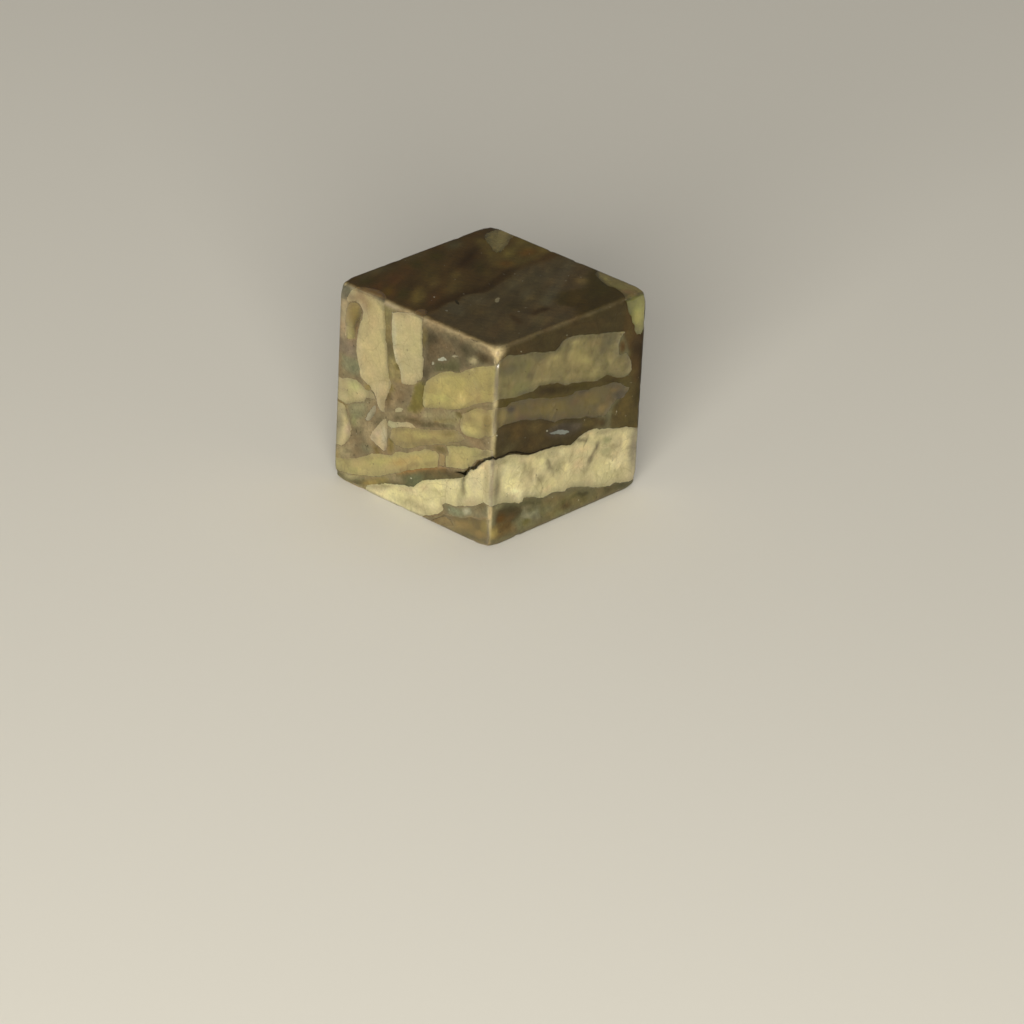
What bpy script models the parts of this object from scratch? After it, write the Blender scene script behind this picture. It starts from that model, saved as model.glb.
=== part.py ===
"""Pallasite meteorite: one small cube sawn from a stony-iron meteorite and polished on all six sides.

Olivine crystals and nickel-iron grew together, so the cube is a single solid. Its edges and corners are
eased by the polishing. One natural fissure opens along the boundary between the large pale crystal near the
foot of the cube and the metal above it: it crosses the front face, turns the edge and runs on across the
side face.

Metres, +Z up. The origin is the middle of the underside, the front face looks along -Y and the side face
that meets it at the fissure looks along +X.
"""

import bmesh
import bpy
from mathutils import Matrix, Vector

# Driving dimensions, in metres.
EDGE = 0.025  # length of each side of the cube
EDGE_ROUND = 0.0006  # radius that the polishing leaves on the edges and corners
ROUND_SEGMENTS = 4  # facets across each rounded edge
FISSURE_DEPTH = 0.0005  # how far the fissure reaches into the face
FISSURE_PROUD = 0.0005  # how far its cutter stands out of the face

# The middle line of the fissure: (distance across the face from its middle, height above the base, opening).
# The front face is read left to right, and ends at the edge that it shares with the side face.
FISSURE_FRONT = [
    (0.0070, 0.00785, 0.00004),
    (0.0080, 0.00805, 0.00026),
    (0.0084, 0.00815, 0.00044),
    (0.0087, 0.00855, 0.00042),
    (0.0091, 0.00900, 0.00034),
    (0.0096, 0.00920, 0.00044),
    (0.0102, 0.00995, 0.00042),
    (0.0105, 0.01030, 0.00036),
    (0.0113, 0.01090, 0.00028),
    (0.0119, 0.01130, 0.00024),
    (0.0128, 0.01160, 0.00022),
]
# The side face is read from the shared edge towards the back.
FISSURE_SIDE = [
    (-0.0128, 0.01160, 0.00022),
    (-0.0120, 0.01136, 0.00018),
    (-0.0106, 0.01142, 0.00016),
    (-0.0090, 0.01125, 0.00016),
    (-0.0076, 0.01070, 0.00014),
    (-0.0064, 0.01018, 0.00012),
    (-0.0046, 0.01008, 0.00008),
    (-0.0028, 0.00992, 0.00004),
]

NAME = "pallasite_cube"
SINK = Vector((0.0, 0.0, EDGE / 2.0))


def clear_scene():
    for obj in list(bpy.data.objects):
        bpy.data.objects.remove(obj, do_unlink=True)


def new_collection(name, hidden=False):
    collection = bpy.data.collections.new(name)
    bpy.context.scene.collection.children.link(collection)
    collection.hide_render = hidden
    return collection


def move_to(obj, collection):
    for owner in list(obj.users_collection):
        owner.objects.unlink(obj)
    collection.objects.link(obj)


def polished_stone():
    """The mean of the yellow crystals and the grey-brown metal under one polish."""
    material = bpy.data.materials.new("polished_pallasite")
    material.use_nodes = True
    shader = material.node_tree.nodes["Principled BSDF"]
    shader.inputs["Base Color"].default_value = (0.36, 0.30, 0.17, 1.0)
    shader.inputs["Roughness"].default_value = 0.28
    shader.inputs["Metallic"].default_value = 0.15
    return material


def sliver(line):
    """Closed outline, as 2D points, of a crack whose middle line and opening are given."""
    middles = [Vector((across, up)) for across, up, _ in line]
    upper, lower = [], []
    for i, (_, _, opening) in enumerate(line):
        ahead = middles[min(i + 1, len(line) - 1)] - middles[max(i - 1, 0)]
        side = Vector((-ahead.y, ahead.x)).normalized() * (opening / 2.0)
        upper.append(middles[i] + side)
        lower.append(middles[i] - side)
    return upper + lower[::-1]


def crack_cutter(name, line, matrix, collection):
    """The crack's outline as a filled 2D curve, thickened through the face and made a mesh."""
    curve = bpy.data.curves.new(name, "CURVE")
    curve.dimensions = "2D"
    curve.fill_mode = "BOTH"
    curve.extrude = (FISSURE_DEPTH + FISSURE_PROUD) / 2.0
    outline = sliver(line)
    spline = curve.splines.new("POLY")
    spline.points.add(len(outline) - 1)
    for point, place in zip(spline.points, outline):
        point.co = (place.x, place.y, 0.0, 1.0)
    spline.use_cyclic_u = True
    drawn = bpy.data.objects.new(name + "_outline", curve)
    collection.objects.link(drawn)
    drawn.matrix_world = matrix
    bpy.context.view_layer.update()

    graph = bpy.context.evaluated_depsgraph_get()
    mesh = bpy.data.meshes.new_from_object(drawn.evaluated_get(graph))
    shape = bmesh.new()
    shape.from_mesh(mesh)
    bmesh.ops.remove_doubles(shape, verts=shape.verts, dist=1e-6)
    bmesh.ops.recalc_face_normals(shape, faces=shape.faces)
    shape.to_mesh(mesh)
    shape.free()
    cutter = bpy.data.objects.new(name, mesh)
    cutter.matrix_world = drawn.matrix_world
    collection.objects.link(cutter)
    bpy.data.objects.remove(drawn, do_unlink=True)
    cutter.display_type = "WIRE"
    cutter.hide_render = True
    return cutter


def build():
    clear_scene()
    parts = new_collection("pallasite_meteorite")
    cutters = new_collection("cutters", hidden=True)

    # The sawn block, standing on its base.
    bpy.ops.mesh.primitive_cube_add(size=EDGE, location=SINK)
    cube = bpy.context.active_object
    cube.name = NAME
    cube.data.name = NAME
    move_to(cube, parts)
    cube.data.materials.append(polished_stone())

    # Edges and corners eased all round.
    rounding = cube.modifiers.new("polished_edges", "BEVEL")
    rounding.width = EDGE_ROUND
    rounding.segments = ROUND_SEGMENTS
    rounding.limit_method = "NONE"
    rounding.use_clamp_overlap = True

    # The fissure, cut from the front and from the side so that it turns the edge between them.
    # A cutter's own X runs across the face, its Y runs up and its Z comes out of the face.
    into = (FISSURE_DEPTH - FISSURE_PROUD) / 2.0
    front = Matrix(((1, 0, 0, 0), (0, 0, -1, -EDGE / 2.0 + into), (0, 1, 0, 0), (0, 0, 0, 1)))
    side = Matrix(((0, 0, 1, EDGE / 2.0 - into), (1, 0, 0, 0), (0, 1, 0, 0), (0, 0, 0, 1)))
    for name, line, matrix in (
        ("fissure_front", FISSURE_FRONT, front),
        ("fissure_side", FISSURE_SIDE, side),
    ):
        cut = cube.modifiers.new(name, "BOOLEAN")
        cut.operation = "DIFFERENCE"
        cut.solver = "EXACT"
        cut.object = crack_cutter(name, line, matrix, cutters)

    bpy.context.view_layer.update()


build()
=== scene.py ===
"""Looks of the polished pallasite cube.

The cube's six faces are drawn as maps of crystals, veins and cracks, in millimetres. Each map is cut into
triangles along those outlines, the six are sewn into one closed skin, and the skin is wrapped on to the
rounded cube. The nickel-iron keeps the skin's level, every olivine crystal gets a real pocket in the metal
with a fractured bed, and a clear solid of olivine fills the pocket flush with the polish. Cracks stay open.
"""

import heapq
import math

import bpy
import numpy as np
from mathutils import Matrix, Vector, noise
from mathutils.geometry import delaunay_2d_cdt


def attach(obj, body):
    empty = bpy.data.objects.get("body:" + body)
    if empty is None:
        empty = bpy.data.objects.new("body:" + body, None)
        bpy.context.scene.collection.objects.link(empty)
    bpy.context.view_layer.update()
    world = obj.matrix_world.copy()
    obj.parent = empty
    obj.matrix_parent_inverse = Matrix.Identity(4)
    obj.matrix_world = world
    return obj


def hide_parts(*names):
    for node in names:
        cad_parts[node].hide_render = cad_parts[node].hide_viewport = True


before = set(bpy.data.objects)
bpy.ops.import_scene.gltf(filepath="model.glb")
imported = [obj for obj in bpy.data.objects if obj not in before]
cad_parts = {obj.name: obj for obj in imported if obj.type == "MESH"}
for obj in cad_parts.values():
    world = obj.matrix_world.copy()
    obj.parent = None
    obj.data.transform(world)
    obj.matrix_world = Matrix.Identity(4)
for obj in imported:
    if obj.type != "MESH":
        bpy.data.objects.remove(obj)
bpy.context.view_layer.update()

NODE = "pallasite_cube"

noise.seed_set(11)

MM = 0.001
HALF = 12.5  # half the cube's side, mm
ROUND = 0.56  # radius of the ground edges, mm
CORNER = 0.16  # how much further the eight corners are worn, mm
RIM = 0.06  # how deep a crystal is at its outline, mm
GAP = 0.002  # hairline between a crystal and its pocket, mm
CRACK_DEPTH = 0.6

# ------------------------------------------------------------------------------------------ palette
# sRGB, as each mineral looks on the polished stone in one light, so painted light and shade are in it:
# the top_ colours hold the top's painted shade; glint, streak, speck, speck_dim, speck_bright and the white cream
# colour are painted highlights; the crease colours are painted shade in creases; the bevel colours paint the ground
# edges' highlight and shade.
PALETTE = {
    "cream_bright": (211, 199, 145),
    "cream": (194, 181, 129),
    "cream_warm": (190, 172, 120),
    "plate": (181, 165, 112),
    "plate_cool": (182, 168, 116),
    "straw": (166, 152, 98),
    "straw_warm": (164, 148, 98),
    "honey": (154, 136, 86),
    "tan": (146, 128, 82),
    "tan_orange": (150, 126, 78),
    "gold": (131, 112, 47),
    "gold_dark": (112, 96, 52),
    "olive_pale": (141, 131, 93),
    "olive": (127, 116, 76),
    "c_dim": (116, 107, 66),
    "c_side": (135, 130, 91),
    "olive_deep": (106, 95, 58),
    "olive_green": (134, 128, 78),
    "vein": (131, 115, 84),
    "vein_pale": (150, 135, 100),
    "vein_dark": (108, 94, 68),
    "slate": (104, 92, 68),
    "slate_dark": (84, 73, 52),
    "moss": (112, 107, 76),
    "moss_dark": (80, 76, 50),
    "moss_mid": (119, 114, 86),
    "left_foot": (139, 131, 93),
    "umber": (88, 74, 46),
    "bark": (70, 58, 37),
    "bark_red": (84, 64, 38),
    "rust": (120, 96, 58),
    "rust_dim": (98, 79, 46),
    "orange": (134, 112, 70),
    "grey_band": (100, 88, 62),
    "glint": (178, 181, 154),
    "speck": (158, 152, 126),
    "black": (24, 18, 11),
    "bevel": (106, 95, 68),
    "bevel_highlight": (150, 138, 104),
    "bevel_warm": (110, 98, 73),
    "bevel_shaded": (71, 63, 46),
    "pinkish": (138, 121, 96),
    "lilac_grey": (100, 94, 80),
    "gap_olive": (120, 108, 70),
    "gap_grey": (110, 96, 68),
    "olive_tan": (138, 122, 80),
    "olive_yellow": (146, 135, 86),
    "node_grey": (119, 105, 77),
    "node_line": (90, 79, 53),
    "flank_olive": (100, 90, 46),
    "left_moss": (136, 127, 93),
    "under_c": (142, 130, 93),
    "bar_yellow": (174, 160, 114),
    "e_pale": (173, 160, 112),
    "g_pale": (176, 162, 110),
    "h_pink": (188, 172, 117),
    "speck_dim": (146, 136, 108),
    "crease": (140, 124, 76),
    "cream_white": (216, 204, 156),
    "cream_pink": (204, 182, 134),
    "peach": (198, 178, 130),
    "crease_tan": (172, 155, 104),
    "crease_brown": (150, 131, 84),
    "yellow_green": (166, 160, 104),
    "edge_tan": (150, 135, 98),
    "low_glow": (98, 68, 28),
    "low_pink": (120, 101, 74),
    "low_deep": (82, 73, 36),
    "low_grey": (104, 89, 62),
    "low_slate": (78, 80, 60),
    "under_cream": (108, 98, 60),
    "core_dark": (60, 48, 29),
    "band_dark": (87, 74, 45),
    "c_yellow": (130, 121, 66),
    "c_tan": (149, 139, 112),
    "d_tan": (120, 103, 24),
    "vein_umber": (122, 112, 76),
    "moss_pale": (127, 121, 90),
    "wedge_green": (84, 86, 60),
    "gold_mid": (122, 106, 62),
    "sliver": (155, 145, 108),
    "streak": (166, 154, 116),
    "k_dark": (95, 83, 45),
    "speck_bright": (170, 168, 144),
    "d_side": (109, 95, 6),
    "low_green": (146, 140, 122),
    "low_tan": (117, 109, 79),
    "low_brown": (78, 69, 48),
    "low_orange": (106, 87, 58),
    "top_grey": (66, 58, 44),
    "top_slate": (70, 65, 54),
    "top_brown": (66, 52, 34),
    "top_bark": (56, 44, 28),
    "top_red": (60, 44, 29),
    "top_olive": (98, 89, 56),
    "top_leaf": (104, 95, 58),
    "top_gold": (79, 68, 44),
    "top_dark": (58, 50, 30),
    "top_strip": (106, 96, 60),
    "top_deep": (50, 36, 20),
    "top_moss": (58, 54, 28),
    "top_tan": (72, 60, 36),
    "top_pale": (84, 74, 50),
    "top_rust": (78, 52, 34),
    "top_amber": (82, 66, 26),
    "top_bright": (122, 112, 74),
    "top_pink": (124, 100, 70),
    "top_yellow": (116, 108, 66),
    "top_speck": (110, 104, 92),
    "top_pit": (40, 35, 24),
    "top_ember": (88, 62, 32),
    "leaf": (121, 115, 58),
    "leaf_bright": (134, 130, 66),
    "leaf_deep": (103, 93, 42),
    "sage": (135, 134, 88),
    "sage_dark": (110, 105, 60),
    "sand": (146, 136, 104),
    "sand_pink": (138, 117, 80),
    "sand_bright": (162, 153, 126),
    "glow": (172, 161, 134),
    "bark_brown": (82, 60, 24),
    "fawn": (119, 97, 32),
    "ochre": (115, 103, 26),
    "ochre_red": (112, 84, 46),
    "russet": (96, 62, 22),
    "purple_brown": (76, 62, 44),
    "olive_shadow": (84, 73, 26),
    "foot_pale": (124, 118, 86),
    "foot_grey": (112, 105, 84),
    "foot_olive": (117, 113, 90),
    "foot_dark": (70, 59, 34),
    "foot_red": (98, 72, 46),
    "foot_brown": (126, 110, 76),
    "corner_grey": (112, 104, 84),
    "edge_pink": (126, 110, 88),
    "moss_green": (123, 127, 97),
    "honey_red": (178, 148, 92),
    "ember": (152, 117, 70),
    "g_yellow": (174, 170, 108),
    "mauve": (184, 162, 124),
    "milk": (188, 179, 138),
    "foot_orange": (164, 133, 86),
    "fissure_brown": (60, 48, 24),
}


def linear(name):
    out = []
    for c in PALETTE[name]:
        c /= 255.0
        out.append(c / 12.92 if c <= 0.04045 else ((c + 0.055) / 1.055) ** 2.4)
    return np.array(out)


# ------------------------------------------------------------------------------------------ the maps
# A face map is read from outside with Z up (the top and the underside with +X to the right).
# front: across = x; side: across = y; back: across = -x; left: across = -y; up = height above the base.
# top: across = x, up = y; under: across = x, up = -y. Later outlines lie over earlier ones.
# kinds: crystal groups (pale, honey, olive, smoke), metal, oxide, crack.


def vein(points):
    """Outline of a thin vein or crack from its middle line: (across, up, width)."""
    mids = [Vector(p[:2]) for p in points]
    one, two = [], []
    for i, p in enumerate(points):
        ahead = (mids[min(i + 1, len(mids) - 1)] - mids[max(i - 1, 0)]).normalized()
        side = Vector((-ahead.y, ahead.x)) * (p[2] / 2.0)
        one.append(tuple(mids[i] + side))
        two.append(tuple(mids[i] - side))
    return one + two[::-1]


FISSURE_FRONT = [(7.0, 7.85, 0.04), (7.5, 7.98, 0.10), (8.0, 8.05, 0.26), (8.35, 8.10, 0.44),
                 (8.7, 8.55, 0.42), (9.1, 9.0, 0.34), (9.6, 9.2, 0.44), (9.95, 9.5, 0.40), (10.2, 9.95, 0.42),
                 (10.5, 10.3, 0.38), (10.9, 10.5, 0.20), (11.3, 10.9, 0.30), (11.9, 11.3, 0.24), (12.5, 11.6, 0.24), (13.0, 11.6, 0.24)]
FISSURE_SIDE = [(-13.0, 11.6, 0.24), (-12.5, 11.6, 0.24), (-12.0, 11.35, 0.14), (-11.4, 11.34, 0.11), (-10.6, 11.42, 0.12), (-9.8, 11.44, 0.11),
                (-9.0, 11.25, 0.13), (-8.0, 10.9, 0.12), (-7.2, 10.5, 0.10), (-6.4, 10.18, 0.09), (-5.5, 10.12, 0.08),
                (-4.0, 10.06, 0.07), (-2.8, 9.92, 0.06), (-1.5, 9.78, 0.05), (-0.2, 9.38, 0.03)]

PLATE_A_RIGHT = [(-4.6, 11.2), (-4.55, 12.0), (-4.5, 12.7), (-4.25, 13.4), (-3.95, 14.2), (-3.8, 14.7), (-3.75, 15.2),
                 (-4.0, 15.6), (-4.2, 16.0), (-4.3, 17.0), (-4.45, 18.0), (-4.55, 19.0), (-4.6, 19.8), (-4.85, 20.1),
                 (-4.95, 21.0), (-5.0, 22.0), (-5.2, 23.5), (-5.35, 25.3)]
PLATE_A_LEFT = [(-10.4, 25.3), (-10.5, 24.6), (-10.9, 24.0), (-11.25, 23.4), (-11.3, 22.9), (-10.9, 22.85), (-10.4, 23.15), (-9.8, 23.3), (-9.2, 23.15), (-8.75, 22.7), (-8.55, 22.2), (-8.7, 21.6), (-8.95, 21.2),
                (-9.05, 20.5), (-9.3, 19.9), (-9.4, 19.2), (-9.45, 18.2), (-9.4, 17.0), (-9.25, 16.2), (-8.95, 15.5),
                (-8.75, 14.9), (-8.6, 14.3), (-7.9, 13.85), (-7.1, 13.45), (-6.4, 13.0), (-6.0, 12.4), (-5.85, 11.8), (-5.5, 11.3), (-5.05, 11.05)]
PLATE_B = [(-4.05, 23.9), (-3.2, 24.25), (-2.2, 24.5), (-1.2, 24.9), (-0.6, 25.3), (0.7, 25.3), (0.75, 24.2), (0.8, 23.2),
           (0.85, 22.0), (0.9, 21.0), (1.0, 20.2), (1.25, 19.9), (1.15, 19.0), (1.1, 18.3), (1.2, 17.7), (0.9, 17.2),
           (0.4, 16.9), (0.1, 16.4), (-0.4, 16.1), (-1.2, 15.9), (-2.0, 15.7), (-2.2, 16.2), (-2.35, 16.9),
           (-2.55, 17.4), (-2.75, 17.9), (-3.1, 18.0), (-3.35, 18.6), (-3.6, 19.4), (-3.7, 20.1), (-3.9, 21.0),
           (-4.0, 22.5)]
C_TOP = [(1.35, 14.3), (1.3, 15.0), (1.4, 16.0), (1.8, 17.3), (2.3, 17.9), (3.0, 18.4), (3.6, 18.95), (4.3, 19.35),
         (5.2, 19.75), (6.4, 20.05), (7.0, 20.2), (7.6, 20.7), (8.3, 21.2), (9.2, 21.7), (10.0, 22.05), (11.0, 22.45),
         (11.7, 22.7), (12.5, 23.2), (13.0, 23.3)]
C_LOW = [(13.0, 18.7), (12.5, 18.6), (12.0, 18.3), (11.3, 18.1), (10.6, 17.8), (10.0, 17.5), (9.5, 17.2), (9.0, 16.9), (8.3, 16.4),
         (7.8, 16.05), (7.0, 15.7), (6.2, 15.3), (5.2, 15.0), (4.2, 14.8), (3.0, 14.4), (2.2, 14.1), (1.6, 14.05)]
BAR_TOP = [(-13.0, 2.4), (-11.4, 2.9), (-10.6, 3.1), (-10.0, 3.3), (-9.0, 3.7), (-8.0, 4.2), (-7.0, 4.8), (-6.3, 5.3),
           (-5.0, 5.7), (-4.0, 6.0), (-3.2, 6.2), (-2.6, 6.9), (-1.8, 7.2), (-0.8, 7.35), (0.2, 7.9), (1.0, 8.3),
           (2.0, 8.9), (3.6, 9.2), (4.15, 9.0), (4.1, 7.95)]
BAR_LOW = [(4.05, 7.3), (3.4, 6.95), (2.1, 6.4), (0.8, 5.9), (0.3, 5.5), (-0.5, 5.15), (-1.3, 4.7), (-2.5, 4.15), (-3.4, 3.7),
           (-4.0, 3.4), (-5.0, 2.85), (-6.0, 2.45), (-7.0, 2.15), (-8.0, 1.85), (-9.0, 1.55), (-10.0, 1.3), (-10.8, 1.15),
           (-13.0, 1.0)]
WEDGE_LOW = [(8.3, 7.75), (7.7, 7.35), (7.0, 7.0), (6.0, 6.6), (5.0, 6.2), (4.2, 5.85), (3.0, 5.4), (2.0, 4.95),
             (1.4, 4.5), (0.9, 4.0), (0.4, 3.5), (-0.4, 3.3), (-1.3, 3.1), (-2.5, 2.75), (-3.3, 2.5), (-4.1, 2.25),
             (-5.0, 1.8), (-6.0, 1.4), (-6.9, 1.0)]
CREAM_FRONT_LOW = [(13.0, 5.4), (12.5, 5.4), (12.0, 5.5), (11.4, 5.6), (10.9, 5.2), (10.4, 4.8), (9.6, 4.4), (8.6, 4.05),
                   (7.8, 3.8), (7.2, 3.5), (6.3, 3.4), (5.5, 3.3), (5.1, 2.9), (5.3, 2.5), (5.1, 2.1), (4.4, 1.5),
                   (3.4, 1.0), (2.4, 0.55), (1.4, -0.3), (-7.4, -0.3)]

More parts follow.
